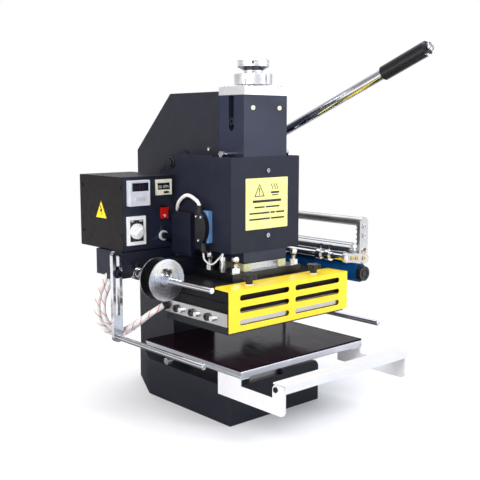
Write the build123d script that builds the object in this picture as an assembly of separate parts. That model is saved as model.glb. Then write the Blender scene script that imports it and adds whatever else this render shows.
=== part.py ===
"""Hot foil stamper: a bench toggle press with a heated head, a sliding table and a foil feed.

Units are millimetres. The origin lies on the bench, straight under the axis of the ram.
+X is the operator's right, +Y the back of the machine, +Z up.
"""

import os
from math import cos, radians, sin

from build123d import *

os.makedirs("parts", exist_ok=True)

# Fits and stock
RUN = 0.05                      # radial clearance of shafts, pins and slides
SHEET = 2.0                     # sheet steel of covers and boxes

# Base and body
BASE_HALF = 126.0
BASE_FRONT = -73.0
BASE_SHOULDER = 199.0           # where the plan of the base starts to narrow
BASE_TOP = 78.0
BASE_WALL = 12.0
BODY_HALF = 60.0
BODY_WALL = 8.0
BODY_BACK = 325.0
BUSH_R = 18.0                   # of the lever shaft's bushes
THROAT_BACK = 195.0
ARM_TOP = 653.0

# Guide column and ram
COLUMN_HALF_X = 59.0
COLUMN_HALF_Y = 38.0
COLUMN_BOTTOM = 312.0
COLUMN_TOP = 645.0
RAM_HALF_X = 31.0
RAM_HALF_Y = 26.0
TOP_PLATE_TOP = 661.5

# Height adjustment above the toggle
SCREW_R = 10.0
SCREW_FOOT = 614.0
BLOCK_TOP = 626.0
COLLAR_BOTTOM = 666.5
COLLAR_TOP = 687.5
KNOB_TOP = 716.0
TOMMY_R = 3.0
TOMMY_ANGLE = 227.5             # direction of the first tommy bar hole, from +X

# Toggle: two equal links between the adjusting block and the ram
PIVOT_Z = 593.5
LINK = 100.0
KNEE_ANGLE = 54.1               # of each link from the vertical, press open
SHAFT_Y = 152.0
SHAFT_Z = 509.0
CRANK = 30.6
CRANK_LEAN = 25.0               # of the crank behind the vertical, press open
PIN_R = 7.75
KNEE_PIN_R = 8.0
KNEE_CLEARANCE = 2.0            # radial, at the pivot where the linkage is open
ADJUST_TRAVEL = 6.0             # half height of the slot that the knee pin rides in
LINK_EYE_R = 13.0
LINK_INNER = 9.0                # the upper link's plates lie from here outward
LINK_THICK = 8.5
SHAFT_R = 12.5
CRANK_PIN_R = 7.0

KNEE_Y = LINK * sin(radians(KNEE_ANGLE))
KNEE_Z = PIVOT_Z - LINK * cos(radians(KNEE_ANGLE))
RAM_PIN_Z = PIVOT_Z - 2 * LINK * cos(radians(KNEE_ANGLE))
CRANK_Y = SHAFT_Y + CRANK * sin(radians(CRANK_LEAN))
CRANK_Z = SHAFT_Z + CRANK * cos(radians(CRANK_LEAN))

# Hand lever
LEVER_X = 108.0
LEVER_RISE = 22.6               # above the horizontal, towards the operator
LEVER_OFFSET = 7.4              # of the tube's axis above the shaft's axis
LEVER_LENGTH = 540.0
LEVER_R = 10.0
GRIP_R = 14.0
GRIP_LENGTH = 106.0

# Head box around the column
BOX_HALF = 94.0
BOX_FRONT = -40.0
BOX_BOTTOM = 334.5
COVER_TOP = 524.0
COVER_BACK = 15.0
SIDE_TOP = 527.0
SIDE_BACK = 201.0
SIDE_PLATE = 3.0

# Heated head, from the bottom up
HEAD_FRONT = -110.0
HEAD_BACK = 85.0
DIE_BOTTOM = 197.0
CHASE_BOTTOM = 213.0
CHASE_TOP = 238.0
HEATER_TOP = 280.0
PRESS_TOP = 296.0
CHASE_HALF = 165.0
HEATER_Z = 224.0
HEATER_PITCH = 48.5
CLAMP_OFFSET = 17.0             # of each heater's clamping screw, in front of it
FOOT_TOP = 311.0
SPACER_X = 48.0
SPACER_Y = 28.0
PRESS_HALF = 95.0
PRESS_FRONT = -46.0
PRESS_BACK = 62.0

# Guard
GUARD_Y = -115.5
GUARD_SHEET = 1.5
GUARD_HALF = 164.7
GUARD_BOTTOM = 202.0
GUARD_KNOB_X = 90.0
GUARD_KNOB_Y = -88.0

# Levelling screws of the press plate, as (x, y)
LEVELLING = ((-79, -36), (-78, 45), (84, -36), (84, 45))

# Table
TABLE_HALF = 171.0
TABLE_FRONT = -154.0
TABLE_BACK = 145.0
TABLE_BOTTOM = 126.0
TABLE_TOP = 142.0
SHEET_TOP = 3.5                 # thickness of the hard dark sheet on the table
CARRIAGE_BOTTOM = 95.0
LOCK_Y = 71.0
LOCK_Z = 110.6
PULL_TAB_BACK = -90.0
PULL_ARM_BOTTOM = 83.0
PULL_TOP = 141.0
PULL_FRONT = -271.0
PULL_RISER_BACK = -238.0

# Foil path
GUIDE_X = 243.6
GUIDE_Z = 160.0
GUIDE_FRONT = -138.0
GUIDE_R = 5.5
BAR_WIDTH = 22.0
BAR_FRONT = 135.0
BAR_BACK = 145.0
BAR_TOP = 338.0
BAR_BOTTOM = 150.0
SLOT_BOTTOM = 203.0
SLOT_TOP = 328.0
SLOT_R = 4.5
CLAMP_Z = 291.0
HOUSING_LEFT = -230.0
HOUSING_BACK = 235.0
HOUSING_BOTTOM = 278.0
REEL_X = -200.0
REEL_Z = 287.5
REEL_R = 41.5
REEL_FRONT = -108.5
REEL_SHAFT_R = 5.5
FEED_X = 226.0
FEED_Z = 268.0
FEED_R = 20.0
FEED_SHAFT_R = 6.0
PINCH_Z = 310.2
PINCH_R = 22.0
PINCH_SHAFT_R = 5.0
PINCH_LIFT = 4.0                # room above the bearing blocks
FEED_BACK = 145.0               # front face of the rear end plate
FEED_PLATE = -107.5             # front face of the front end plate
PLATE_THICK = 8.0
PLATE_HALF = 13.5
BRACKET_FRONT = -115.0
TIE_Z = 380.0
TIE_R = 9.5
REWIND_X = 165.0
REWIND_Z = 309.0
REWIND_R = 7.0
REWIND_JOURNAL_R = 5.0

# Control box
CASE_LEFT = -226.0
CASE_FRONT = 139.0
CASE_BACK = 302.0
CASE_BOTTOM = 332.0
CASE_TOP = 483.0
PANEL_FRONT = 141.0
PANEL_BACK = 143.0

# Bezels of the instruments, as (x0, x1, z0, z1)
CONTROLLER = (-214.5, -165.5, 424.5, 476.0)
COUNTER = (-144.0, -105.0, 443.0, 475.0)
TIMER = (-216.5, -172.0, 344.5, 403.0)
ROCKER = (-135.5, -111.0, 391.0, 421.0)
ROCKER_PIVOT_Y = 143.0
FUSE_X = -126.0
FUSE_Z = 358.0
FUSE_R = 6.0
COUNTER_DEPTH = 5.0             # of the counter's and the timer's bezels before the panel
TIMER_DEPTH = 5.0
RESET_X = -120.0
RESET_Z = 448.5
DIAL_X = -194.0
DIAL_Z = 372.5

# Heater connector on the left side plate
PLUG_BASE = 10.0                # thickness of the base, and of the hood on it
HOOD_HALF = 5.0
HOOD_X = -BOX_HALF - PLUG_BASE - HOOD_HALF
HOOD_BACK = 48.0
HOOD_BOTTOM = 352.0
HOOD_TOP = 413.5
GLAND_Y = 38.5
GLAND_TOP = 427.0


# Sketch and extrusion helpers

def area(a0, a1, b0, b1):
    """A rectangle from a0 to a1 and from b0 to b1."""
    return Pos((a0 + a1) / 2, (b0 + b1) / 2) * Rectangle(a1 - a0, b1 - b0)


def disc(radius, a=0.0, b=0.0):
    return Pos(a, b) * Circle(radius)


def outline(*points):
    return make_face(Polyline(*points, close=True))


def along_x(sketch, x0, x1):
    """Extrude a sketch drawn in (y, z) from x0 to x1."""
    return extrude(Plane.YZ.offset(x0) * sketch, x1 - x0)


def along_y(sketch, y0, y1):
    """Extrude a sketch drawn in (x, z) from y0 to y1."""
    return extrude(Plane.XZ.offset(-y1) * sketch, y1 - y0)


def along_z(sketch, z0, z1):
    """Extrude a sketch drawn in (x, y) from z0 to z1."""
    return extrude(Plane.XY.offset(z0) * sketch, z1 - z0)


def block(x0, x1, y0, y1, z0, z1):
    return along_z(area(x0, x1, y0, y1), z0, z1)


def mirrored(shape):
    """The same shape on the other side of the machine's middle plane."""
    return mirror(shape, Plane.YZ)


def group(*solids):
    """Separate solids kept in one node."""
    found = []
    for item in solids:
        found.extend(item.solids())
    return Compound(children=found)


def hex_screw_x(x, y, z, radius, height, turn):
    """A screw head with a hexagon socket on a face whose outward normal is turn * X."""
    head = disc(radius, y, z)
    socket = Pos(y, z) * RegularPolygon(radius * 0.55, 6)
    low, high = sorted((x, x + turn * height))
    cut_low, cut_high = sorted((x + turn * height / 2, x + turn * height))
    return along_x(head, low, high) - along_x(socket, cut_low, cut_high)


def hex_screw_y(x, y, z, radius, height):
    """A screw head with a hexagon socket, facing the operator."""
    socket = Pos(x, z) * RegularPolygon(radius * 0.55, 6)
    return along_y(disc(radius, x, z), y - height, y) - along_y(socket, y - height, y - height / 2)


def collar_y(x, y0, y1, z, bore, radius):
    """A clamping collar round an axis along Y, with a thumb screw standing up from it."""
    middle = (y0 + y1) / 2
    ring = along_y(disc(radius, x, z) - disc(bore, x, z), y0, y1)
    stem = along_z(disc(2.0, x, middle), z + radius - 2, z + radius + 6)
    wing = block(x - 5, x + 5, middle - 1.2, middle + 1.2, z + radius + 4, z + radius + 12)
    return ring + stem + wing


# Base and body

def base_outline():
    return outline(
        (-BASE_HALF, BASE_FRONT),
        (BASE_HALF, BASE_FRONT),
        (BASE_HALF, BASE_SHOULDER),
        (BODY_HALF + 2, BODY_BACK),
        (-BODY_HALF - 2, BODY_BACK),
        (-BASE_HALF, BASE_SHOULDER),
    )


def base_casting():
    """Heavy hollow base with two cross webs, and the front stop pad of the table on top."""
    shell = along_z(base_outline(), 0, BASE_TOP)
    inner = offset(base_outline(), -BASE_WALL, kind=Kind.INTERSECTION)
    hollow = along_z(inner, 0, BASE_TOP - BASE_WALL)
    pad_left, pad_right, pad_depth, pad_height = 18.0, 124.0, 12.0, 9.0
    pad = along_y(
        outline(
            (pad_left, BASE_TOP),
            (pad_right, BASE_TOP),
            (pad_right, BASE_TOP + 3),
            (pad_right - 6, BASE_TOP + pad_height),
            (pad_left, BASE_TOP + pad_height),
        ),
        BASE_FRONT,
        BASE_FRONT + pad_depth,
    )
    base = shell - hollow + pad
    for y in (0, 140):
        half = BASE_WALL / 2
        base += block(-BASE_HALF + half, BASE_HALF - half, y - half, y + half, 0, BASE_TOP - half)
    return base


def body_housing():
    """Welded C-frame: a hollow upright and an upper arm that is open towards the column."""
    jaw_step_y, jaw_step_z = 90.0, 272.0
    shoulder_z = 531.0
    profile = outline(
        (THROAT_BACK, BASE_TOP),
        (BODY_BACK, BASE_TOP),
        (BODY_BACK, shoulder_z),
        (BASE_SHOULDER, ARM_TOP),
        (COLUMN_HALF_Y, ARM_TOP),
        (COLUMN_HALF_Y, COLUMN_BOTTOM),
        (jaw_step_y, COLUMN_BOTTOM),
        (jaw_step_y, jaw_step_z),
        (THROAT_BACK, jaw_step_z),
    )
    inside = offset(profile, -BODY_WALL, kind=Kind.INTERSECTION)
    body = along_x(profile, -BODY_HALF, BODY_HALF)
    body -= along_x(inside, -BODY_HALF + BODY_WALL, BODY_HALF - BODY_WALL)
    mouth = block(-45, 45, COLUMN_HALF_Y - 1, COLUMN_HALF_Y + BODY_WALL + 1, 340, 630)
    bush_seat = along_x(disc(BUSH_R, SHAFT_Y, SHAFT_Z), -BODY_HALF - 1, BODY_HALF + 1)
    return body - mouth - bush_seat


def shaft_bushes():
    """Flanged bushes that carry the lever shaft in the two side walls of the body."""
    flange_r, flange = 24.0, 4.0
    ring = disc(BUSH_R, SHAFT_Y, SHAFT_Z) - disc(SHAFT_R + RUN, SHAFT_Y, SHAFT_Z)
    lip = disc(flange_r, SHAFT_Y, SHAFT_Z) - disc(SHAFT_R + RUN, SHAFT_Y, SHAFT_Z)
    bush = along_x(ring, BODY_HALF - BODY_WALL, BODY_HALF) + along_x(lip, BODY_HALF, BODY_HALF + flange)
    return group(bush, mirrored(bush))


def guide_column():
    """Square guide with a bore for the ram, side slots for the upper pivot pin and a rear window."""
    slot_half, slot_bottom = PIN_R + RUN, 574.6
    section = area(-COLUMN_HALF_X, COLUMN_HALF_X, -COLUMN_HALF_Y, COLUMN_HALF_Y)
    section -= area(-RAM_HALF_X, RAM_HALF_X, -RAM_HALF_Y, RAM_HALF_Y)
    column = along_z(section, COLUMN_BOTTOM, COLUMN_TOP)
    slot = disc(slot_half, 0, slot_bottom + slot_half)
    slot += area(-slot_half, slot_half, slot_bottom + slot_half, COLUMN_TOP + 1)
    column -= along_x(slot, -COLUMN_HALF_X - 1, COLUMN_HALF_X + 1)
    window = block(-28, 28, RAM_HALF_Y - 1, COLUMN_HALF_Y + 1, 436, 600)
    return column - window


def top_plate():
    plate = block(-COLUMN_HALF_X, COLUMN_HALF_X, -41, COLUMN_HALF_Y - 0.5, COLUMN_TOP, TOP_PLATE_TOP)
    return plate - along_z(disc(SCREW_R + RUN), COLUMN_TOP - 1, TOP_PLATE_TOP + 1)


# Height adjustment above the toggle

def tommy_holes(z, radius):
    """Four radial holes for a tommy bar."""
    holes = []
    for quarter in range(4):
        hole = Plane.XY.offset(z) * Rot(0, 0, TOMMY_ANGLE + 90 * quarter) * Rot(0, 90, 0)
        holes.append(hole * Pos(0, 0, radius / 2 + 6) * Cylinder(TOMMY_R, radius))
    return holes


def adjusting_knob():
    """Screw spindle and the turned knob pinned to it."""
    neck_r, rim_r = 19.0, 32.0
    neck_top, rim_bottom = COLLAR_TOP + 7, KNOB_TOP - 14
    spindle = along_z(disc(SCREW_R), BLOCK_TOP, COLLAR_TOP)
    journal = along_z(disc(SCREW_R - 3), SCREW_FOOT, BLOCK_TOP)
    half = outline(
        (0, COLLAR_TOP),
        (neck_r, COLLAR_TOP),
        (neck_r, neck_top),
        (rim_r, rim_bottom),
        (rim_r, KNOB_TOP - 2),
        (rim_r - 2, KNOB_TOP),
        (0, KNOB_TOP),
    )
    knob = revolve(Plane.XZ * half, Axis.Z)
    for low, high, radius in ((rim_bottom, KNOB_TOP, rim_r), (COLLAR_TOP, neck_top, neck_r)):
        for hole in tommy_holes((low + high) / 2, radius):
            knob -= hole
    return spindle + journal + knob


def lock_collar():
    """Round locknut under the knob with notches for a hook spanner."""
    radius, notch_depth, notch_width, notches = 38.5, 6.0, 9.0, 6
    ring = disc(radius) - disc(SCREW_R + RUN)
    for index in range(notches):
        notch = Pos(radius, 0) * Rectangle(2 * notch_depth, notch_width)
        ring -= Rot(0, 0, 30 + 360 / notches * index) * notch
    return along_z(ring, COLLAR_BOTTOM, COLLAR_TOP - 0.2)


def adjusting_block():
    """Block that slides in the column, with the upper pivot pin of the toggle through it."""
    half_x, half_y = RAM_HALF_X - RUN, RAM_HALF_Y - RUN
    body = block(-half_x, half_x, -half_y, half_y, PIVOT_Z - 15, BLOCK_TOP)
    gap = LINK_INNER + LINK_THICK + 0.5
    body -= block(-gap, gap, -half_y - 1, half_y + 1, PIVOT_Z - 16, PIVOT_Z + 15)
    body -= along_z(disc(SCREW_R - 3 + RUN), SCREW_FOOT, BLOCK_TOP + 1)
    body -= along_x(disc(PIN_R, 0, PIVOT_Z), -half_x - 1, half_x + 1)
    pin = along_x(disc(PIN_R, 0, PIVOT_Z), -COLUMN_HALF_X + 1, COLUMN_HALF_X - 1)
    pin -= along_x(disc(3.2, 0, PIVOT_Z), -COLUMN_HALF_X + 1, -COLUMN_HALF_X + 5)
    return group(body, pin)


# Toggle linkage

def link_plate(y0, z0, y1, z1, eye0, eye1):
    """Flat link in (y, z) between two eyes, before its bores are cut."""
    length = ((y1 - y0) ** 2 + (z1 - z0) ** 2) ** 0.5
    side_y, side_z = (z0 - z1) / length, (y1 - y0) / length
    web = min(eye0, eye1) * 0.8
    bar = outline(
        (y0 + side_y * web, z0 + side_z * web),
        (y1 + side_y * web, z1 + side_z * web),
        (y1 - side_y * web, z1 - side_z * web),
        (y0 - side_y * web, z0 - side_z * web),
    )
    return bar + disc(eye0, y0, z0) + disc(eye1, y1, z1)


def upper_toggle_link():
    """Pair of plates hung from the upper pivot pin, with the knee pin pressed into them."""
    plate = link_plate(0, PIVOT_Z, KNEE_Y, KNEE_Z, LINK_EYE_R, LINK_EYE_R)
    plate -= disc(PIN_R + RUN, 0, PIVOT_Z)
    side = along_x(plate, LINK_INNER, LINK_INNER + LINK_THICK)
    pin = along_x(disc(KNEE_PIN_R, KNEE_Y, KNEE_Z), -27, 27)
    return side + mirrored(side) + pin


def lower_toggle_link():
    """Pair of plates between the knee pin and the ram, with the ram pin pressed into them."""
    inner = LINK_INNER + LINK_THICK + 0.5
    eye = KNEE_PIN_R + KNEE_CLEARANCE
    plate = link_plate(0, RAM_PIN_Z, KNEE_Y, KNEE_Z, LINK_EYE_R, eye + 6)
    plate -= disc(eye, KNEE_Y, KNEE_Z)
    side = along_x(plate, inner, inner + LINK_THICK)
    pin = along_x(disc(PIN_R, 0, RAM_PIN_Z), -inner - LINK_THICK, inner + LINK_THICK)
    return side + mirrored(side) + pin


def connecting_rod():
    """Rod from the crank to the knee pin, which rides in an upright slot at its front end."""
    half, big_eye, small_eye = 8.0, 13.5, KNEE_PIN_R + KNEE_CLEARANCE
    knee = Pos(KNEE_Y, KNEE_Z) * Rot(0, 0, 90)
    front = knee * SlotCenterToCenter(2 * ADJUST_TRAVEL, 2 * small_eye + 12)
    slot = knee * SlotCenterToCenter(2 * ADJUST_TRAVEL, 2 * small_eye)
    rod = link_plate(KNEE_Y, KNEE_Z, CRANK_Y, CRANK_Z, big_eye, big_eye) + front
    rod -= slot
    rod -= disc(CRANK_PIN_R + RUN, CRANK_Y, CRANK_Z)
    return along_x(rod, -half, half)


def crank_shaft():
    """Lever shaft with two crank cheeks and the crank pin welded to it."""
    shaft = along_x(disc(SHAFT_R, SHAFT_Y, SHAFT_Z), -BOX_HALF - 3, LEVER_X + 13)
    cheek = link_plate(SHAFT_Y, SHAFT_Z, CRANK_Y, CRANK_Z, 20, 12)
    side = along_x(cheek, 10, 20)
    pin = along_x(disc(CRANK_PIN_R, CRANK_Y, CRANK_Z), -20, 20)
    cap = along_x(disc(9, SHAFT_Y, SHAFT_Z), -BOX_HALF - 7, -BOX_HALF - 3)
    return shaft + side + mirrored(side) + pin + cap


def lever_frame():
    """Plane whose +Z runs along the lever tube from the shaft towards the grip."""
    rise = radians(LEVER_RISE)
    start = (
        LEVER_X,
        SHAFT_Y + LEVER_OFFSET * sin(rise),
        SHAFT_Z + LEVER_OFFSET * cos(rise),
    )
    return Plane(origin=start, x_dir=(1, 0, 0), z_dir=(0, -cos(rise), sin(rise)))


def lever_arm():
    """Hub clamped on the shaft, tube welded to it and the end cap in the tube."""
    frame = lever_frame()
    hub = along_x(disc(22, SHAFT_Y, SHAFT_Z), LEVER_X - 11, LEVER_X + 11)
    socket = extrude(frame * Circle(LEVER_R + 2.5), 46)
    tube = extrude(frame * Circle(LEVER_R), LEVER_LENGTH - 6)
    cap_start = LEVER_LENGTH - 6
    half = outline(
        (0, cap_start),
        (GRIP_R, cap_start),
        (GRIP_R, LEVER_LENGTH - 3),
        (GRIP_R - 3, LEVER_LENGTH),
        (0, LEVER_LENGTH),
    )
    cap = frame * revolve(Plane.XZ * half, Axis.Z)
    arm = hub + socket + tube + cap
    return arm - along_x(disc(SHAFT_R, SHAFT_Y, SHAFT_Z), LEVER_X - 16, LEVER_X + 16)


def lever_grip():
    frame = lever_frame().offset(LEVER_LENGTH - GRIP_LENGTH)
    return extrude(frame * (disc(GRIP_R) - disc(LEVER_R)), GRIP_LENGTH - 6)


def ram():
    """Ram bar with its tongue for the toggle above and the steel foot below."""
    half_x, half_y = RAM_HALF_X - RUN, RAM_HALF_Y - RUN
    shoulder = RAM_PIN_Z - 20
    bar = block(-half_x, half_x, -half_y, half_y, FOOT_TOP, shoulder)
    tongue = area(-12.5, 12.5, shoulder - 1, RAM_PIN_Z) + disc(12.5, 0, RAM_PIN_Z)
    tongue -= disc(PIN_R + RUN, 0, RAM_PIN_Z)
    tongue_half = LINK_INNER + LINK_THICK
    foot = block(-38, 38, -36, 36, PRESS_TOP, FOOT_TOP)
    groove = block(-39, 39, -37, -33, 302, 305)
    return bar + along_x(tongue, -tongue_half, tongue_half) + foot - groove


def return_springs():
    """Pair of tension springs that hold the ram up on the adjusting block."""
    wire, coil_r, turns = 1.0, 4.2, 12
    low, high = RAM_PIN_Z - 20 + 1.2, PIVOT_Z - 15 - 1.2
    x, y = 13.0, -19.6
    helix = Helix(pitch=(high - low) / turns, height=high - low, radius=coil_r)
    section = Plane(origin=helix @ 0, z_dir=helix % 0) * Circle(wire)
    coil = Pos(x, y, low) * sweep(section, path=helix)
    return group(coil, mirrored(coil))


# Head box

def head_cover():
    """Front cover of bent sheet with two side flanges."""
    section = area(-BOX_HALF, BOX_HALF, BOX_FRONT, COVER_BACK)
    section -= area(-BOX_HALF + SHEET, BOX_HALF - SHEET, BOX_FRONT + SHEET - 0.5, COVER_BACK + 1)
    return along_z(section, BOX_BOTTOM, COVER_TOP)


def head_side_plates():
    """Side plates of the head box, with a hole for the lever shaft."""
    corner = 47.0
    plate = outline(
        (COVER_BACK, BOX_BOTTOM),
        (SIDE_BACK, BOX_BOTTOM),
        (SIDE_BACK, SIDE_TOP - corner),
        (SIDE_BACK - corner, SIDE_TOP),
        (COVER_BACK, SIDE_TOP),
    )
    plate -= disc(SHAFT_R + 1.5, SHAFT_Y, SHAFT_Z)
    side = along_x(plate, BOX_HALF - SIDE_PLATE, BOX_HALF)
    return group(side, mirrored(side))


def frame_screws():
    """Screws, studs and clamping bolts of the fixed frame."""
    solids = []
    # Column front, cover front and body sides
    for x in (-36, 36):
        solids.append(hex_screw_y(x, -COLUMN_HALF_Y, 620, 4.5, 3))
    for z in (365, 496):
        solids.append(hex_screw_y(4, BOX_FRONT, z, 4.5, 2.5))
    for turn in (-1, 1):
        solids.append(hex_screw_x(turn * BODY_HALF, 67, 538, 4, 2.5, turn))
    # Studs that hold the side plates on the body and the column
    for y, z in ((-6, 529.5), (60, 360), (180, 360), (75, 500)):
        on_column = y < COVER_BACK
        inner = COLUMN_HALF_X if on_column else BODY_HALF
        reach = BOX_HALF - (SHEET if on_column else SIDE_PLATE)
        stud = along_x(disc(4, y, z), inner, reach)
        nut = along_x(Pos(y, z) * RegularPolygon(6.5, 6), reach - 8, reach)
        solids.extend((stud + nut, mirrored(stud + nut)))
    # Top plate
    for x in (-48, 48):
        for y in (-28, 24):
            screw = along_z(disc(6, x, y), TOP_PLATE_TOP, TOP_PLATE_TOP + 2)
            socket = along_z(Pos(x, y) * RegularPolygon(3, 6), TOP_PLATE_TOP + 1, TOP_PLATE_TOP + 3)
            solids.append(screw - socket)
    # Control box side
    for y in (147, 293):
        for z in (364, 461):
            solids.append(hex_screw_x(CASE_LEFT, y, z, 3.5, 2, -1))
    # Clamping bolts of the slotted guide bars
    for side in (-1, 1):
        x = side * GUIDE_X
        washer = along_y(disc(9, x, CLAMP_Z), BAR_FRONT - 2, BAR_FRONT)
        socketed = disc(6.5, x, CLAMP_Z) - Pos(x, CLAMP_Z) * RegularPolygon(3, 6)
        head = along_y(socketed, BAR_FRONT - 9, BAR_FRONT - 2)
        shank = along_y(disc(4, x, CLAMP_Z), BAR_FRONT - 3, BAR_BACK + 6)
        solids.append(washer + head + shank)
    # Rewind bracket and the end plate behind it
    for x, z in ((REWIND_X + 15, REWIND_Z - 2), (194.5, REWIND_Z - 3), (218, REWIND_Z - 6)):
        solids.append(hex_screw_y(x, BRACKET_FRONT, z, 4.5, 2))
    for z in (TIE_Z - 9, TIE_Z - 29):
        solids.append(hex_screw_y(FEED_X, FEED_PLATE, z, 5, 3))
    return group(*solids)


# Heated head

def insulating_spacers():
    solids = []
    for x in (-SPACER_X, SPACER_X):
        for y in (-SPACER_Y, SPACER_Y):
            solids.append(block(x - 10, x + 10, y - 10, y + 10, PRESS_TOP, FOOT_TOP))
    return group(*solids)


def press_plate():
    """Thick plate that the ram presses on, with holes for the levelling screws."""
    plate = block(-PRESS_HALF, PRESS_HALF, PRESS_FRONT, PRESS_BACK, HEATER_TOP, PRESS_TOP)
    for x, y in LEVELLING:
        plate -= along_z(disc(4, x, y), HEATER_TOP - 1, PRESS_TOP + 1)
    return plate


def levelling_screws():
    """Thumb screws with a locknut, and the sensor gland beside the front left one."""
    solids = []
    for x, y in LEVELLING:
        half = outline(
            (0, HEATER_TOP),
            (4, HEATER_TOP),
            (4, PRESS_TOP + 18),
            (7.5, PRESS_TOP + 24),
            (7.5, PRESS_TOP + 31),
            (5.5, PRESS_TOP + 33),
            (0, PRESS_TOP + 33),
        )
        screw = Pos(x, y) * revolve(Plane.XZ * half, Axis.Z)
        nut = along_z(Pos(x, y) * RegularPolygon(8.5, 6), PRESS_TOP, PRESS_TOP + 10)
        solids.append(screw + nut)
    gland = along_z(disc(6, -75, 8), PRESS_TOP, PRESS_TOP + 20)
    gland += along_z(disc(8.5, -75, 8), PRESS_TOP + 20, PRESS_TOP + 27)
    gland += along_z(disc(3.5, -75, 8), PRESS_TOP + 27, PRESS_TOP + 34)
    solids.append(gland)
    return group(*solids)


def heater_block():
    """Insulated block between the press plate and the chase plate."""
    lower = block(-160, 160, HEAD_FRONT + 3, HEAD_BACK - 2, CHASE_TOP, 256)
    upper = block(-158, 158, HEAD_FRONT + 4, HEAD_BACK - 4, 256, HEATER_TOP)
    return lower + upper


def heater_positions():
    return [HEATER_PITCH * step - 4.5 for step in (-1, 0, 1)]


def chase_plate():
    """Aluminium plate that holds the heaters and carries the die."""
    plate = block(-CHASE_HALF, CHASE_HALF, HEAD_FRONT, HEAD_BACK, CHASE_BOTTOM, CHASE_TOP)
    for y in heater_positions():
        plate -= along_x(disc(6, y, HEATER_Z), -CHASE_HALF - 1, CHASE_HALF - 20)
        plate -= along_x(disc(2.5, y - CLAMP_OFFSET, HEATER_Z), -CHASE_HALF - 1, -CHASE_HALF + 20)
    return plate


def heater_rods():
    """Cartridge heaters with their dark end sleeves and the clamping screw beside each."""
    solids = []
    for y in heater_positions():
        rod = along_x(disc(6, y, HEATER_Z), -CHASE_HALF, CHASE_HALF - 20)
        sleeve = disc(7.5, y, HEATER_Z) - disc(4.5, y, HEATER_Z)
        rod += along_x(sleeve, -CHASE_HALF - 5, -CHASE_HALF)
        screw = along_x(disc(2.5, y - CLAMP_OFFSET, HEATER_Z), -CHASE_HALF, -CHASE_HALF + 20)
        hexagon = Pos(y - CLAMP_OFFSET, HEATER_Z) * RegularPolygon(5.5, 6)
        screw += along_x(hexagon, -CHASE_HALF - 7, -CHASE_HALF)
        solids.extend((rod, screw))
    return group(*solids)


def die_plate():
    """Steel plate for the stamping die, in two dovetail grooves of the chase plate's outline."""
    section = outline(
        (HEAD_FRONT + 2, DIE_BOTTOM),
        (HEAD_BACK - 2, DIE_BOTTOM),
        (HEAD_BACK - 2, CHASE_BOTTOM - 4),
        (HEAD_BACK - 8, CHASE_BOTTOM),
        (HEAD_FRONT + 8, CHASE_BOTTOM),
        (HEAD_FRONT + 2, CHASE_BOTTOM - 4),
    )
    return along_x(section, -161, 161)


def hand_guard():
    """Bent sheet guard: slotted front and a flange that lies on the heater block."""
    flange_back, corner = -62.0, 9.0
    top = HEATER_TOP + GUARD_SHEET
    front = area(-GUARD_HALF, GUARD_HALF, GUARD_BOTTOM, top)
    slot_length, slot_height, slot_pitch = 131.0, 11.0, 23.7
    for x in (-72.5, 75.0):
        for row in range(3):
            z = top - 15.5 - slot_pitch * row
            front -= Pos(x, z) * SlotOverall(slot_length, slot_height)
    sheet = along_y(front, GUARD_Y, GUARD_Y + GUARD_SHEET)
    flange = outline(
        (-GUARD_HALF, GUARD_Y),
        (GUARD_HALF, GUARD_Y),
        (GUARD_HALF - 2, flange_back),
        (-GUARD_HALF + corner + 3, flange_back),
        (-GUARD_HALF + 3, flange_back - corner),
    )
    for x in (-GUARD_KNOB_X, GUARD_KNOB_X):
        flange -= disc(4.2, x, GUARD_KNOB_Y)
    return sheet + along_z(flange, HEATER_TOP, top)


def guard_knob(x):
    """Star knob on a pale washer, with its stud through the flange."""
    base = HEATER_TOP + GUARD_SHEET
    y = GUARD_KNOB_Y
    lobes, lobe_r = 5, 4.6
    star = disc(11, x, y)
    for index in range(lobes):
        turn = radians(360 / lobes * index + 18)
        star += disc(lobe_r, x + 10.5 * cos(turn), y + 10.5 * sin(turn))
    half = outline((0, base + 2), (7, base + 2), (7.5, base + 10), (0, base + 10))
    knob = Pos(x, y) * revolve(Plane.XZ * half, Axis.Z)
    knob += along_z(star, base + 10, base + 20)
    knob += along_z(disc(4, x, y), HEATER_TOP, base + 2)
    washer = along_z(disc(8.5, x, y) - disc(4, x, y), base, base + 2)
    return group(knob, washer)


def heater_cable():
    """Woven heater cable from the head's left end up into the foil unit's housing."""
    plug_x, plug_y, plug_z = -172, 78, 226
    path = Spline(
        (plug_x, plug_y, plug_z),
        (-190, 97, 209),
        (-224, 152, 168),
        (-254, 164, 190),
        (-258, 168, 232),
        (-222, 184, HOUSING_BOTTOM),
        tangents=((-1, 0, 0), (0, 0, 1)),
    )
    section = Plane(origin=path @ 0, z_dir=path % 0) * Circle(6)
    plug = along_x(disc(7, plug_y, plug_z), plug_x, -CHASE_HALF)
    return sweep(section, path=path) + plug


# Table

def table_plate():
    """Aluminium table plate with a groove along each side edge."""
    top = TABLE_TOP - SHEET_TOP
    section = area(-TABLE_HALF, TABLE_HALF, TABLE_BOTTOM, top)
    for x in (-TABLE_HALF, TABLE_HALF):
        section -= area(x - 2, x + 2, TABLE_BOTTOM + 4, TABLE_BOTTOM + 8)
    return along_y(section, TABLE_FRONT, TABLE_BACK)


def table_sheet():
    return block(-TABLE_HALF + 0.8, TABLE_HALF - 0.8, TABLE_FRONT + 0.8, TABLE_BACK - 0.8,
                 TABLE_TOP - SHEET_TOP, TABLE_TOP)


def dovetail(half_top, half_bottom, top, bottom):
    return outline((-half_bottom, bottom), (half_bottom, bottom), (half_top, top), (-half_top, top))


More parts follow.
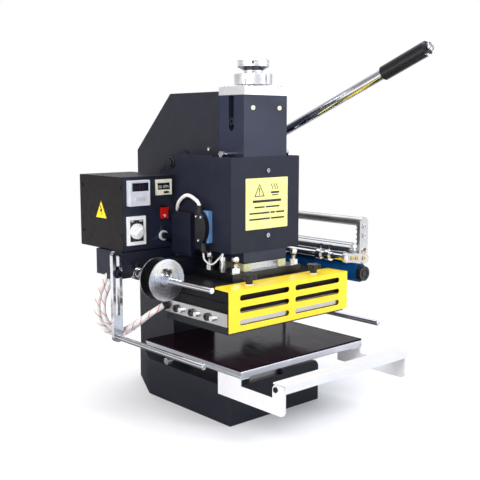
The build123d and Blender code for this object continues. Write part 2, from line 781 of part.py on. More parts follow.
def slide_rail():
    """Dovetail rail on the base that the table carriage runs on."""
    section = area(-62, 62, BASE_TOP, CARRIAGE_BOTTOM - 0.5)
    section += dovetail(31, 25, 106, CARRIAGE_BOTTOM - 0.5)
    return along_y(section, -60, 130)


def table_carriage():
    """Carriage under the table with the matching dovetail groove."""
    section = area(-75, 75, CARRIAGE_BOTTOM, TABLE_BOTTOM)
    section -= dovetail(31 + RUN, 25 + RUN, 106 + RUN, CARRIAGE_BOTTOM - 0.5 - RUN)
    carriage = along_y(section, -60, 130)
    return carriage - along_x(disc(4 + RUN, LOCK_Y, LOCK_Z), -76, -40)


def table_lock_screw():
    """Long thumb screw under the left edge that clamps the carriage."""
    radius, knob_left, knob_right = 7.0, -174.0, -162.0
    shank = along_x(disc(4, LOCK_Y, LOCK_Z), knob_right, -42)
    knob = disc(radius, LOCK_Y, LOCK_Z)
    for index in range(12):
        turn = radians(30 * index)
        knob -= disc(0.9, LOCK_Y + radius * cos(turn), LOCK_Z + radius * sin(turn))
    return shank + along_x(knob, knob_left, knob_right)


def pull_arm():
    """Flat J-shaped arm on the right: tab under the table, arm forward and riser at the front."""
    corner = 10.0
    profile = outline(
        (PULL_TAB_BACK, PULL_ARM_BOTTOM),
        (PULL_TAB_BACK, TABLE_BOTTOM),
        (-152, TABLE_BOTTOM),
        (-152, 111),
        (PULL_RISER_BACK, 111),
        (PULL_RISER_BACK, PULL_TOP - corner),
        (PULL_RISER_BACK - corner, PULL_TOP - 3),
        (PULL_FRONT + 3, PULL_TOP - 3),
        (PULL_FRONT + 3, PULL_ARM_BOTTOM + corner),
        (PULL_FRONT + corner + 3, PULL_ARM_BOTTOM),
    )
    profile += disc(corner, PULL_RISER_BACK - corner, PULL_TOP - corner - 3)
    profile += disc(corner, PULL_FRONT + corner + 3, PULL_ARM_BOTTOM + corner)
    arm = along_x(profile, TABLE_HALF - 4, TABLE_HALF)
    tab = block(TABLE_HALF - 26, TABLE_HALF - 4, -150, -94, TABLE_BOTTOM - 4, TABLE_BOTTOM)
    bolt = along_x(disc(5, PULL_RISER_BACK - 9, PULL_TOP - 12), TABLE_HALF, TABLE_HALF + 2.5)
    return arm + tab + bolt


def pull_frame():
    """Two arms and the bent cross bar that the operator pulls the table out with."""
    arm = pull_arm()
    section = area(PULL_FRONT, PULL_RISER_BACK - 2, PULL_TOP - 3, PULL_TOP)
    section += area(PULL_FRONT, PULL_FRONT + 3, PULL_TOP - 15, PULL_TOP)
    bar = along_x(section, -TABLE_HALF, TABLE_HALF)
    return group(arm, mirrored(arm), bar)


# Foil unwinding on the left

def unwind_housing():
    """Closed sheet box below the control box, with the bearing of the reel shaft in its front."""
    shell = block(HOUSING_LEFT, -BOX_HALF, CASE_FRONT, HOUSING_BACK, HOUSING_BOTTOM, CASE_BOTTOM - 1)
    shell -= block(HOUSING_LEFT + SHEET, -BOX_HALF - SHEET, CASE_FRONT + SHEET, HOUSING_BACK - SHEET,
                   HOUSING_BOTTOM + SHEET, CASE_BOTTOM - 1 - SHEET)
    bearing = along_y(disc(10, REEL_X, REEL_Z), CASE_FRONT, CASE_FRONT + 12)
    bore = along_y(disc(REEL_SHAFT_R + RUN, REEL_X, REEL_Z), CASE_FRONT - 1, CASE_FRONT + 13)
    lug = block(HOUSING_LEFT - 25, HOUSING_LEFT, BAR_BACK, BAR_BACK + 12, CLAMP_Z - 11, CLAMP_Z + 11)
    lug -= along_y(disc(4, -GUIDE_X, CLAMP_Z), BAR_BACK - 1, BAR_BACK + 6)
    return shell + bearing - bore + lug


def feed_arms():
    """Two bent arms from the body's sides: one behind the reel, one behind the feed unit."""
    top, bottom, sheet = 311.0, 275.0, 4.0
    reel_front, reach = 90.0, 150.0
    left = area(reel_front, CASE_FRONT, top - sheet, top)
    left += area(reel_front, reel_front + sheet, bottom, top)
    plate_back = FEED_BACK + 8
    right = area(plate_back, plate_back + 36, top - sheet, top)
    right += area(plate_back, plate_back + sheet, bottom, top)
    return group(along_x(left, -reach, -BODY_HALF), along_x(right, BODY_HALF, FEED_X - 34))


def guide_bar():
    """Slotted height bar on the right with its polished foil guide rod."""
    x, middle = GUIDE_X, (SLOT_BOTTOM + SLOT_TOP) / 2
    bar = area(x - BAR_WIDTH / 2, x + BAR_WIDTH / 2, BAR_BOTTOM + 11, BAR_TOP - 11)
    bar += disc(BAR_WIDTH / 2, x, BAR_TOP - 11) + disc(BAR_WIDTH / 2, x, BAR_BOTTOM + 11)
    slot_size = SLOT_TOP - SLOT_BOTTOM
    bar -= Pos(x, middle) * Rot(0, 0, 90) * SlotOverall(slot_size, 2 * SLOT_R)
    bar = along_y(bar, BAR_FRONT, BAR_BACK)
    rod = along_y(disc(GUIDE_R, x, GUIDE_Z), GUIDE_FRONT, BAR_FRONT)
    tip = along_y(disc(GUIDE_R - 1, x, GUIDE_Z), GUIDE_FRONT - 1, GUIDE_FRONT)
    return group(bar, rod + tip)


def reel_shaft():
    """Unwinding shaft with its brake collar in front of the housing."""
    shaft = along_y(disc(REEL_SHAFT_R, REEL_X, REEL_Z), REEL_FRONT, CASE_FRONT + 11)
    shaft += along_y(disc(REEL_SHAFT_R - 1, REEL_X, REEL_Z), REEL_FRONT - 1, REEL_FRONT)
    brake = collar_y(REEL_X, CASE_FRONT - 14.5, CASE_FRONT - 0.5, REEL_Z, REEL_SHAFT_R, 13)
    brake += along_y(disc(10, REEL_X, REEL_Z), CASE_FRONT - 28, CASE_FRONT - 17)
    return shaft + brake


def reel_discs():
    """Two foil flanges, each on a hub that a thumb screw clamps to the shaft."""
    solids = []
    for face, hub_front in ((27.7, 13.0), (59.0, 61.0)):
        flange = disc(REEL_R, REEL_X, REEL_Z) - disc(REEL_SHAFT_R, REEL_X, REEL_Z)
        plate = along_y(flange, face, face + 2)
        solids.append(plate + collar_y(REEL_X, hub_front, hub_front + 14.7, REEL_Z, REEL_SHAFT_R, 10))
    return group(*solids)


# Foil feed on the right

def end_plate(bottom):
    """Upright end plate in (x, z) with the slot of the bearing block."""
    rounded = PLATE_HALF
    plate = area(FEED_X - rounded, FEED_X + rounded, bottom + rounded, TIE_Z)
    plate += disc(rounded, FEED_X, TIE_Z - 2.5) + disc(rounded, FEED_X, bottom + rounded)
    return plate - area(FEED_X - 8, FEED_X + 8, PINCH_Z - 8 - RUN, PINCH_Z + 8 + PINCH_LIFT + 1)


def rewind_bracket():
    """Bar in (x, z) from the end plate to the lobe that carries the rewinding rod."""
    foot_x, foot_z = FEED_X - 4, REWIND_Z - 7
    bar = outline(
        (REWIND_X, REWIND_Z - 9.5),
        (foot_x, foot_z - 9.5),
        (foot_x, foot_z + 11),
        (REWIND_X, REWIND_Z + 9.5),
    )
    bar += disc(10.5, REWIND_X, REWIND_Z) + disc(12, foot_x, foot_z)
    return bar - disc(REWIND_JOURNAL_R + RUN, REWIND_X, REWIND_Z)


def feed_frame():
    """End plates, tie rod and the two arms of the rewinding rod."""
    front = along_y(end_plate(290), FEED_PLATE, FEED_PLATE + PLATE_THICK)
    front += along_y(rewind_bracket(), BRACKET_FRONT, FEED_PLATE)
    rear_plate = end_plate(FEED_Z - PLATE_HALF - 1) - disc(FEED_SHAFT_R + RUN, FEED_X, FEED_Z)
    lug = area(FEED_X + PLATE_HALF - 1, GUIDE_X + 11, CLAMP_Z - 11, CLAMP_Z + 11)
    rear_plate += lug - disc(4, GUIDE_X, CLAMP_Z)
    rear = along_y(rear_plate, FEED_BACK, FEED_BACK + PLATE_THICK)
    arm = rewind_bracket() - area(FEED_X - PLATE_HALF + 3, FEED_X + 20, 280, 330)
    rear += along_y(arm, FEED_BACK, FEED_BACK + PLATE_THICK)
    tie = along_y(disc(TIE_R, FEED_X, TIE_Z), FEED_PLATE + PLATE_THICK, FEED_BACK)
    bar_room = GUIDE_X - BAR_WIDTH / 2 - 0.6
    tie -= block(bar_room, bar_room + TIE_R, BAR_FRONT - 4, FEED_BACK, TIE_Z - TIE_R, TIE_Z + TIE_R)
    return group(front, rear, tie)


def feed_roller():
    """Rubber-covered drive roller overhung from its rear bearing, with a dark ring and end nut."""
    front, back = -100, 124
    cover = along_y(disc(FEED_R, FEED_X, FEED_Z) - disc(15, FEED_X, FEED_Z), front, back)
    shaft = along_y(disc(15, FEED_X, FEED_Z), front, back + 3)
    shaft += along_y(disc(FEED_SHAFT_R, FEED_X, FEED_Z), back, FEED_BACK + 12)
    ring = along_y(disc(17, FEED_X, FEED_Z), front - 6, front)
    nut = along_y(disc(16, FEED_X, FEED_Z), front - 12, front - 6)
    nut -= along_y(disc(10, FEED_X, FEED_Z) - disc(7, FEED_X, FEED_Z), front - 12, front - 10)
    return group(cover, shaft, ring, nut)


def pinch_blocks():
    """Bearing blocks that slide up and down in the end plates' slots."""
    section = area(FEED_X - 8 + RUN, FEED_X + 8 - RUN, PINCH_Z - 8, PINCH_Z + 8)
    section -= disc(PINCH_SHAFT_R + RUN, FEED_X, PINCH_Z)
    front = along_y(section, FEED_PLATE + RUN, FEED_PLATE + PLATE_THICK)
    return group(front, along_y(section, FEED_BACK, FEED_BACK + PLATE_THICK))


def pinch_roller():
    """Polished steel pinch roller on its own journals."""
    body = along_y(disc(PINCH_R, FEED_X, PINCH_Z), -83, 122)
    journal = disc(PINCH_SHAFT_R, FEED_X, PINCH_Z)
    return body + along_y(journal, FEED_PLATE + 0.5, FEED_BACK + PLATE_THICK + 1)


def pinch_springs():
    """Compression springs that press the pinch roller on the drive roller."""
    wire, coil_r, turns = 1.0, 4.0, 7
    low, high = PINCH_Z + PINCH_SHAFT_R + wire + 0.2, TIE_Z - TIE_R - wire - 0.2
    helix = Helix(pitch=(high - low) / turns, height=high - low, radius=coil_r)
    section = Plane(origin=helix @ 0, z_dir=helix % 0) * Circle(wire)
    coil = sweep(section, path=helix)
    return group(Pos(FEED_X, -91, low) * coil, Pos(FEED_X, 138, low) * coil)


def rewind_rod():
    """Rewinding rod with the two collars that hold a foil core."""
    rod = along_y(disc(REWIND_R, REWIND_X, REWIND_Z), FEED_PLATE + 0.5, FEED_BACK - 0.5)
    rod += along_y(disc(REWIND_JOURNAL_R, REWIND_X, REWIND_Z), BRACKET_FRONT + 1, FEED_BACK + 7)
    solids = [rod]
    for y in (-69, -44):
        solids.append(collar_y(REWIND_X, y, y + 13, REWIND_Z, REWIND_R, 11))
    return group(*solids)


def feed_motor():
    """Gear motor behind the feed roller's rear end plate."""
    gearbox = block(FEED_X - 30, FEED_X + 30, FEED_BACK + 16, FEED_BACK + 48, FEED_Z - 30, FEED_Z + 30)
    motor = along_y(disc(27, FEED_X, FEED_Z), FEED_BACK + 48, FEED_BACK + 118)
    seat = disc(14, FEED_X, FEED_Z) - disc(FEED_SHAFT_R + 1, FEED_X, FEED_Z)
    return gearbox + motor + along_y(seat, FEED_BACK + 8, FEED_BACK + 16)


# Control box and its instruments

def control_box():
    """Sheet box on the left of the head, open at the front inside a narrow rim."""
    shell = block(CASE_LEFT, -BOX_HALF, CASE_FRONT, CASE_BACK, CASE_BOTTOM, CASE_TOP)
    return shell - block(CASE_LEFT + SHEET, -BOX_HALF - SHEET, CASE_FRONT - 1, CASE_BACK - SHEET,
                         CASE_BOTTOM + SHEET, CASE_TOP - SHEET)


def inset(frame, margin):
    x0, x1, z0, z1 = frame
    return area(x0 + margin, x1 - margin, z0 + margin, z1 - margin)


def fuse_holder():
    """Bright ring and dark screw cap of the panel fuse."""
    ring = along_y(disc(10.5, FUSE_X, FUSE_Z) - disc(7, FUSE_X, FUSE_Z), PANEL_FRONT - 4, PANEL_FRONT)
    cap = along_y(disc(7, FUSE_X, FUSE_Z), PANEL_FRONT - 11, PANEL_FRONT)
    cap -= along_y(Pos(FUSE_X, FUSE_Z) * Rectangle(9, 1.6), PANEL_FRONT - 12, PANEL_FRONT - 9)
    body = along_y(disc(FUSE_R, FUSE_X, FUSE_Z), PANEL_FRONT, PANEL_FRONT + 30)
    return ring + cap + body


def control_panel():
    """Front panel with the cut-outs of the instruments and the fuse screwed into it."""
    panel = area(CASE_LEFT + SHEET, -BOX_HALF - SHEET, CASE_BOTTOM + SHEET, CASE_TOP - SHEET)
    for frame in (CONTROLLER, COUNTER, TIMER, ROCKER):
        panel -= inset(frame, 1.5)
    panel -= disc(FUSE_R, FUSE_X, FUSE_Z)
    return group(along_y(panel, PANEL_FRONT, PANEL_BACK), fuse_holder())


def instrument(frame, front, depth):
    """Bezel in front of the panel and body through its cut-out."""
    bezel = along_y(inset(frame, 0), front, PANEL_FRONT)
    return bezel + along_y(inset(frame, 1.5), PANEL_FRONT, PANEL_FRONT + depth)


def temperature_controller():
    """Controller with a recessed display above its key field."""
    front = PANEL_FRONT - 12
    body = instrument(CONTROLLER, front, 70)
    x0, x1, z0, z1 = CONTROLLER
    body -= along_y(area(x0 + 6, x1 - 3, z1 - 22, z1 - 5), front - 1, front + 1.5)
    return body - along_y(area(x0 + 6, x1 - 5, z0 + 4, z1 - 25), front - 1, front + 0.6)


def counter_body():
    """Totalising counter with its number window and the seat of the reset button."""
    front = PANEL_FRONT - COUNTER_DEPTH
    body = instrument(COUNTER, front, 50)
    x0, x1, z0, z1 = COUNTER
    body -= along_y(area(x0 + 3, x1 - 5, z1 - 21, z1 - 7), front - 1, front + 1.2)
    return body - along_y(Pos(RESET_X, RESET_Z) * SlotOverall(12.4, 4.4), front - 1, front + 5)


def counter_reset_button():
    front = PANEL_FRONT - COUNTER_DEPTH
    return along_y(Pos(RESET_X, RESET_Z) * SlotOverall(12.2, 4.2), front - 2, front + 2.5)


def timer_body():
    """Dwell timer with a window behind the setting dial."""
    front = PANEL_FRONT - TIMER_DEPTH
    body = instrument(TIMER, front, 60)
    x0, x1, z0, z1 = TIMER
    body -= along_y(area(x0 + 6.2, x1 - 5.3, z0 + 7, z1 - 7.5), front - 1, front + 1.5)
    return body - along_y(disc(3 + RUN, DIAL_X, DIAL_Z), front, front + 8)


def timer_dial():
    """Round setting dial with a raised grip bar."""
    front = PANEL_FRONT - TIMER_DEPTH
    dial = along_y(disc(15.8, DIAL_X, DIAL_Z), front - 3, front + 1.3)
    dial += along_y(disc(11, DIAL_X, DIAL_Z), front - 6, front - 3)
    grip = Pos(DIAL_X, DIAL_Z) * Rot(0, 0, 40) * SlotOverall(20, 4)
    dial += along_y(grip, front - 9, front - 6)
    return dial + along_y(disc(3, DIAL_X, DIAL_Z), front + 1.3, front + 8)


def rocker_switch():
    """Bezel and hollow body that carry the rocker of the mains switch."""
    x0, x1, z0, z1 = ROCKER
    body = instrument(ROCKER, PANEL_FRONT - 2, 22)
    body -= along_y(inset(ROCKER, 2.2), PANEL_FRONT - 3, PANEL_FRONT + 14)
    middle = (z0 + z1) / 2
    return body - along_x(disc(1.5 + RUN, ROCKER_PIVOT_Y, middle), x0 + 1.4, x1 - 1.4)


def rocker():
    """Red rocker on two short trunnions, tipped to the position that switches the press on."""
    x0, x1, z0, z1 = ROCKER
    middle, half = (z0 + z1) / 2, (z1 - z0) / 2 - 3.4
    profile = outline(
        (ROCKER_PIVOT_Y - 6.5, middle - half),
        (ROCKER_PIVOT_Y - 3.8, middle),
        (ROCKER_PIVOT_Y - 6.5, middle + half),
        (ROCKER_PIVOT_Y + 3, middle + half - 1),
        (ROCKER_PIVOT_Y + 5, middle),
        (ROCKER_PIVOT_Y + 3, middle - half + 1),
    )
    body = along_x(profile, x0 + 2.6, x1 - 2.6)
    body += along_x(disc(1.5, ROCKER_PIVOT_Y, middle), x0 + 1.6, x1 - 1.6)
    return Pos(0, ROCKER_PIVOT_Y, middle) * Rot(8, 0, 0) * Pos(0, -ROCKER_PIVOT_Y, -middle) * body


# Heater connector on the left side plate

def connector():
    """Rectangular plug: coloured base, dark hood with a rounded front and two cable glands."""
    base = block(-BOX_HALF - PLUG_BASE, -BOX_HALF, 17.8, HOOD_BACK, HOOD_BOTTOM, HOOD_TOP + 2.5)
    left = HOOD_X - HOOD_HALF
    middle, bulge = HOOD_BACK - 14, 18.4
    section = area(middle, HOOD_BACK, HOOD_BOTTOM, HOOD_TOP)
    nose = Pos(middle, (HOOD_BOTTOM + HOOD_TOP) / 2) * Ellipse(bulge, 33)
    section += nose & area(middle - bulge, middle, HOOD_BOTTOM, HOOD_TOP)
    hood = along_x(section, left, HOOD_X + HOOD_HALF)
    hood += along_z(disc(7.5, HOOD_X, GLAND_Y), HOOD_TOP, HOOD_TOP + 4)
    hood += along_z(disc(6.5, HOOD_X, GLAND_Y), HOOD_TOP, GLAND_TOP)
    lower_y = GLAND_Y - 11.6
    for radius, top, bottom in ((6, 0, 4), (7.6, 4, 15), (5.5, 15, 18), (3, 18, 20)):
        hood += along_z(disc(radius, HOOD_X, lower_y), HOOD_BOTTOM - bottom, HOOD_BOTTOM - top)
    for y, z in ((29, HOOD_TOP - 9), (44, HOOD_TOP - 8.5), (37, HOOD_BOTTOM + 5)):
        hood += hex_screw_x(left, y, z, 2.8, 1.5, -1)
    return group(base, hood)


def connector_cable():
    """Pale cable that arches from the left side plate to the connector's upper gland."""
    path = Spline(
        (-BOX_HALF + 2, 134.5, 409),
        (-100, 122, 422),
        (-104, 86, 444),
        (HOOD_X + 1, 52, 437),
        (HOOD_X, GLAND_Y - 0.5, GLAND_TOP - 3),
        tangents=((-0.4, -0.6, 0.7), (0, -0.4, -0.9)),
    )
    section = Plane(origin=path @ 0, z_dir=path % 0) * Circle(3.7)
    cable = sweep(section, path=path)
    cable -= block(-BOX_HALF, -BOX_HALF + 20, 120, 150, 390, 425)
    return cable - block(HOOD_X - 20, HOOD_X + 20, 20, 60, GLAND_TOP - 15, GLAND_TOP)


PARTS = {
    "base_casting": base_casting,
    "body_housing": body_housing,
    "shaft_bushes": shaft_bushes,
    "guide_column": guide_column,
    "top_plate": top_plate,
    "adjusting_knob": adjusting_knob,
    "lock_collar": lock_collar,
    "adjusting_block": adjusting_block,
    "upper_toggle_link": upper_toggle_link,
    "lower_toggle_link": lower_toggle_link,
    "connecting_rod": connecting_rod,
    "crank_shaft": crank_shaft,
    "lever_arm": lever_arm,
    "lever_grip": lever_grip,
    "ram": ram,
    "return_springs": return_springs,
    "head_cover": head_cover,
    "head_side_plates": head_side_plates,
    "frame_screws": frame_screws,
    "insulating_spacers": insulating_spacers,
    "press_plate": press_plate,
    "levelling_screws": levelling_screws,
    "heater_block": heater_block,
    "chase_plate": chase_plate,
    "heater_rods": heater_rods,
    "die_plate": die_plate,
    "hand_guard": hand_guard,
    "guard_knob_left": lambda: guard_knob(-GUARD_KNOB_X),
    "guard_knob_right": lambda: guard_knob(GUARD_KNOB_X),
    "heater_cable": heater_cable,
    "table_plate": table_plate,
    "table_sheet": table_sheet,
    "slide_rail": slide_rail,
    "table_carriage": table_carriage,
    "table_lock_screw": table_lock_screw,
    "pull_frame": pull_frame,
    "unwind_housing": unwind_housing,
    "feed_arms": feed_arms,
    "guide_bar_right": guide_bar,
    "guide_bar_left": lambda: mirrored(guide_bar()),
    "reel_shaft": reel_shaft,
    "reel_discs": reel_discs,
    "feed_frame": feed_frame,
    "feed_roller": feed_roller,
    "pinch_blocks": pinch_blocks,
    "pinch_roller": pinch_roller,
    "pinch_springs": pinch_springs,
    "rewind_rod": rewind_rod,
    "feed_motor": feed_motor,
    "control_box": control_box,
    "control_panel": control_panel,
    "temperature_controller": temperature_controller,
    "counter_body": counter_body,
    "counter_reset_button": counter_reset_button,
    "timer_body": timer_body,
    "timer_dial": timer_dial,
    "rocker_switch": rocker_switch,
    "rocker": rocker,
    "connector": connector,
    "connector_cable": connector_cable,
}

for name, make in PARTS.items():
    export_step(make(), f"parts/{name}.step")
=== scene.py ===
"""Looks of a hot foil stamper: finishes, signs, instrument faces, cables and springs round the CAD."""

from math import cos, pi, radians, sin

import bmesh
import bpy
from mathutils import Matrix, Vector


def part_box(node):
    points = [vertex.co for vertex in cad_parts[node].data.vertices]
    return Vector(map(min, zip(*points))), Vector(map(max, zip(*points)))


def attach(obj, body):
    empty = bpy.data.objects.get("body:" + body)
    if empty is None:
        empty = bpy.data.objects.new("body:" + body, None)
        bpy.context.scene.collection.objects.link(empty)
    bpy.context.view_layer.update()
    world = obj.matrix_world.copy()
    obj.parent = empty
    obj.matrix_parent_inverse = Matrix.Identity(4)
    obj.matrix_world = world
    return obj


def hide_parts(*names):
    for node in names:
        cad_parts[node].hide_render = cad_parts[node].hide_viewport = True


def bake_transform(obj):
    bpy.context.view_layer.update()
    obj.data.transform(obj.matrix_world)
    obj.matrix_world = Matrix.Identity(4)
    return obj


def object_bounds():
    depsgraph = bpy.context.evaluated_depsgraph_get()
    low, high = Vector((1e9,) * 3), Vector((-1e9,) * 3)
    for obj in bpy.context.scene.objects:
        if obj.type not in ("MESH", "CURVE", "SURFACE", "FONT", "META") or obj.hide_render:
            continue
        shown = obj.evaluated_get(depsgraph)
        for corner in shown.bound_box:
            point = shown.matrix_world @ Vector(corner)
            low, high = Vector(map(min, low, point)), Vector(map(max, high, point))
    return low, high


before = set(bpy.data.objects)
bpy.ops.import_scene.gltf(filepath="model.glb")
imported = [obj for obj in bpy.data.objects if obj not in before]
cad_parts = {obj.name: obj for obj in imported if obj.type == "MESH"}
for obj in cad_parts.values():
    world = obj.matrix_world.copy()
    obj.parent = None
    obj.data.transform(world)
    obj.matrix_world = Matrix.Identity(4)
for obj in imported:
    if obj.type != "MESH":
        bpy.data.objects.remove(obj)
cad_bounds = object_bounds()

MM = 0.001
TOUCH = 0.01  # millimetres that still count as touching
PRINT = 0.15  # millimetres that printed ink stands proud
X = Vector((1, 0, 0))
Y = Vector((0, 1, 0))
Z = Vector((0, 0, 1))


# Materials: one small tree builder, then one function for each kind of finish

class Surface:
    """A new material with short ways to add procedural nodes to it. Lengths are in metres."""

    def __init__(self, name, color, roughness, metallic=0.0):
        self.material = bpy.data.materials.new(name)
        self.material.use_nodes = True
        self.material.diffuse_color = (*color, 1)
        self.tree = self.material.node_tree
        self.shader = self.tree.nodes["Principled BSDF"]
        self.coords = self.tree.nodes.new("ShaderNodeTexCoord")
        self.set("Base Color", (*color, 1))
        self.set("Roughness", roughness)
        self.set("Metallic", metallic)

    def set(self, socket, value):
        """Give a socket of the main shader a plain value or another node's output."""
        target = self.shader.inputs[socket]
        if isinstance(value, bpy.types.NodeSocket):
            self.tree.links.new(value, target)
        else:
            target.default_value = value

    def node(self, kind, inputs, **settings):
        made = self.tree.nodes.new(kind)
        for key, value in settings.items():
            setattr(made, key, value)
        for key, value in inputs.items():
            if isinstance(value, bpy.types.NodeSocket):
                self.tree.links.new(value, made.inputs[key])
            else:
                made.inputs[key].default_value = value
        return made

    def math(self, operation, *values):
        return self.node("ShaderNodeMath", dict(enumerate(values)), operation=operation).outputs[0]

    def axes(self, space="Object"):
        split = self.node("ShaderNodeSeparateXYZ", {0: self.coords.outputs[space]})
        return split.outputs

    def vector(self, x, y, z):
        return self.node("ShaderNodeCombineXYZ", {0: x, 1: y, 2: z}).outputs[0]

    def stretched(self, factors):
        """Object coordinates multiplied along each axis, for brushed and drawn grain."""
        inputs = {0: self.coords.outputs["Object"], 1: factors}
        return self.node("ShaderNodeVectorMath", inputs, operation="MULTIPLY").outputs[0]

    def noise(self, size, detail=3.0, vector=None):
        """Noise whose blobs are about size metres across."""
        inputs = {"Vector": vector or self.coords.outputs["Object"], "Scale": 1 / size, "Detail": detail}
        return self.node("ShaderNodeTexNoise", inputs).outputs[0]

    def spread(self, value, low, high, start=0.3, end=0.7):
        """Map a value from start..end to low..high."""
        inputs = {"Value": value, "From Min": start, "From Max": end, "To Min": low, "To Max": high}
        return self.node("ShaderNodeMapRange", inputs).outputs[0]

    def mix(self, factor, first, second):
        inputs = {0: factor, 6: first, 7: second}
        return self.node("ShaderNodeMix", inputs, data_type="RGBA").outputs[2]

    def tint(self, pattern, color, low, high):
        """Colour that runs from low times to high times the given one, after a pattern."""
        self.set("Base Color", self.mix(self.spread(pattern, 0, 1), shade(color, low), shade(color, high)))

    def bump(self, height, depth, strength=1.0):
        """Raise the surface by height times depth metres."""
        inputs = {"Height": height, "Distance": depth, "Strength": strength}
        self.set("Normal", self.node("ShaderNodeBump", inputs).outputs[0])


def shade(color, factor):
    return (*[min(1.0, part * factor) for part in color], 1)


def worn(surface, color, roughness, spot=0.03, change=0.12):
    """Slow variation of colour and gloss, as handling and dust leave it."""
    surface.tint(surface.noise(spot), color, 1 - change, 1 + change)
    smears = surface.noise(spot * 0.4, 6)
    surface.set("Roughness", surface.spread(smears, roughness * 0.85, roughness * 1.2))


def powder_coat(name, color, roughness=0.4, grain=0.0011, depth=0.00005, sheen=0.5, change=0.12):
    """Sprayed enamel with a slight orange peel. sheen is the strength of its mirror layer."""
    surface = Surface(name, color, roughness)
    surface.set("Specular IOR Level", sheen)
    worn(surface, color, roughness, change=change)
    surface.bump(surface.noise(grain, 2), depth, 0.6)
    return surface.material


def brushed(name, color, roughness, along, grain=0.0005):
    """Ground or milled metal whose scratches run along one axis."""
    surface = Surface(name, color, roughness, 1.0)
    factors = [0.02 if part else 1.0 for part in along]
    lines = surface.noise(grain, 4, surface.stretched(factors))
    clouds = surface.noise(0.04)
    tone = surface.math("ADD", surface.math("MULTIPLY", lines, 0.5), surface.math("MULTIPLY", clouds, 0.5))
    surface.tint(tone, color, 0.84, 1.1)
    surface.set("Roughness", surface.spread(lines, roughness * 0.75, roughness * 1.3))
    surface.bump(lines, 0.00002, 0.4)
    return surface.material


def turned(name, color, roughness, axis, stretch=0.4):
    """Metal turned on a lathe round a middle axis of the node. stretch draws light out across the rings."""
    surface = Surface(name, color, roughness, 1.0)
    middle = surface.axes("Generated")
    squares = []
    for index in range(3):
        if index != "XYZ".index(axis):
            offset = surface.math("SUBTRACT", middle[index], 0.5)
            squares.append(surface.math("MULTIPLY", offset, offset))
    radius = surface.math("SQRT", surface.math("ADD", *squares))
    rings = surface.noise(0.03, 2, surface.vector(radius, middle["XYZ".index(axis)], 0.0))
    surface.tint(surface.noise(0.02), color, 0.9, 1.06)
    surface.set("Roughness", surface.spread(rings, roughness * 0.85, roughness * 1.15))
    surface.set("Anisotropic", stretch)
    tangent = surface.node("ShaderNodeTangent", {}, direction_type="RADIAL", axis=axis)
    surface.set("Tangent", tangent.outputs[0])
    surface.bump(rings, 0.00001, 0.15)
    return surface.material


def chrome(name, color=(0.83, 0.84, 0.86), roughness=0.09):
    """Polished plate with faint smears and hairline scratches."""
    surface = Surface(name, color, roughness, 1.0)
    smears = surface.noise(0.012, 5)
    surface.set("Roughness", surface.spread(smears, roughness * 0.7, roughness * 1.8))
    scratches = surface.noise(0.0006, 2, surface.stretched((1, 0.05, 1)))
    surface.tint(smears, color, 0.93, 1.03)
    surface.bump(scratches, 0.000001, 0.3)
    return surface.material


def plastic(name, color, roughness=0.45, grain=0.0007, depth=0.00003):
    """Moulded plastic with a fine texture."""
    surface = Surface(name, color, roughness)
    worn(surface, color, roughness, spot=0.012, change=0.07)
    surface.bump(surface.noise(grain, 2), depth, 0.5)
    return surface.material


def laminate(name, color):
    """Hard glossy laminate with wipe marks and a few scuffs."""
    surface = Surface(name, color, 0.1)
    wipes = surface.noise(0.01, 5, surface.stretched((1, 0.25, 1)))
    surface.tint(surface.noise(0.09), color, 0.8, 1.3)
    surface.set("Roughness", surface.spread(wipes, 0.06, 0.2))
    surface.set("Specular IOR Level", 0.06)
    surface.bump(surface.noise(0.02, 2), 0.00004, 0.15)
    return surface.material


def rubber(name, color):
    """Ground rubber with lathe marks round the roller."""
    surface = Surface(name, color, 0.55)
    rings = surface.noise(0.0009, 2, surface.stretched((0.02, 1, 0.02)))
    dust = surface.noise(0.025, 5)
    surface.tint(dust, color, 0.8, 1.2)
    surface.set("Roughness", surface.spread(dust, 0.42, 0.62))
    surface.set("Specular IOR Level", 0.12)
    surface.bump(rings, 0.00003, 0.6)
    return surface.material


def board(name, color):
    """Pressed fibre board with speckles."""
    surface = Surface(name, color, 0.6)
    fibres = surface.noise(0.0012, 5, surface.stretched((0.4, 1, 1)))
    surface.tint(fibres, color, 0.75, 1.15)
    surface.bump(fibres, 0.00008, 0.5)
    return surface.material


def woven(name, color, tracer, turns, radius):
    """Braided sleeve laid out on the tube's own map: u round the tube, v along it in metres."""
    surface = Surface(name, color, 0.75)
    around, along, _ = surface.axes("UV")
    strands = 10
    pitch = 2 * pi * radius / strands
    waves = []
    for turn in (1, -1):
        step = surface.math("MULTIPLY", along, turn / pitch)
        phase = surface.math("ADD", surface.math("MULTIPLY", around, float(strands)), step)
        waves.append(surface.math("SINE", surface.math("MULTIPLY", phase, 2 * pi)))
    weave = surface.math("MULTIPLY", *waves)
    starts = surface.math("MULTIPLY", around, 2.0)
    helix = surface.math("ADD", starts, surface.math("MULTIPLY", along, turns))
    stripe = surface.math("LESS_THAN", surface.math("FRACT", helix), 0.13)
    broken = surface.math("MULTIPLY", stripe, surface.math("GREATER_THAN", weave, -0.3))
    dirt = surface.spread(surface.noise(0.01, 4), 0, 1)
    cloth = surface.mix(dirt, shade(color, 0.82), shade(color, 1.08))
    surface.set("Base Color", surface.mix(broken, cloth, (*tracer, 1)))
    surface.bump(weave, 0.0004, 0.8)
    return surface.material


def screen(name, color):
    """Dark display window behind glossy plastic."""
    surface = Surface(name, color, 0.08)
    smears = surface.noise(0.008, 4)
    surface.set("Roughness", surface.spread(smears, 0.05, 0.16))
    surface.tint(smears, color, 0.8, 1.3)
    surface.bump(surface.noise(0.004, 2), 0.00001, 0.2)
    return surface.material


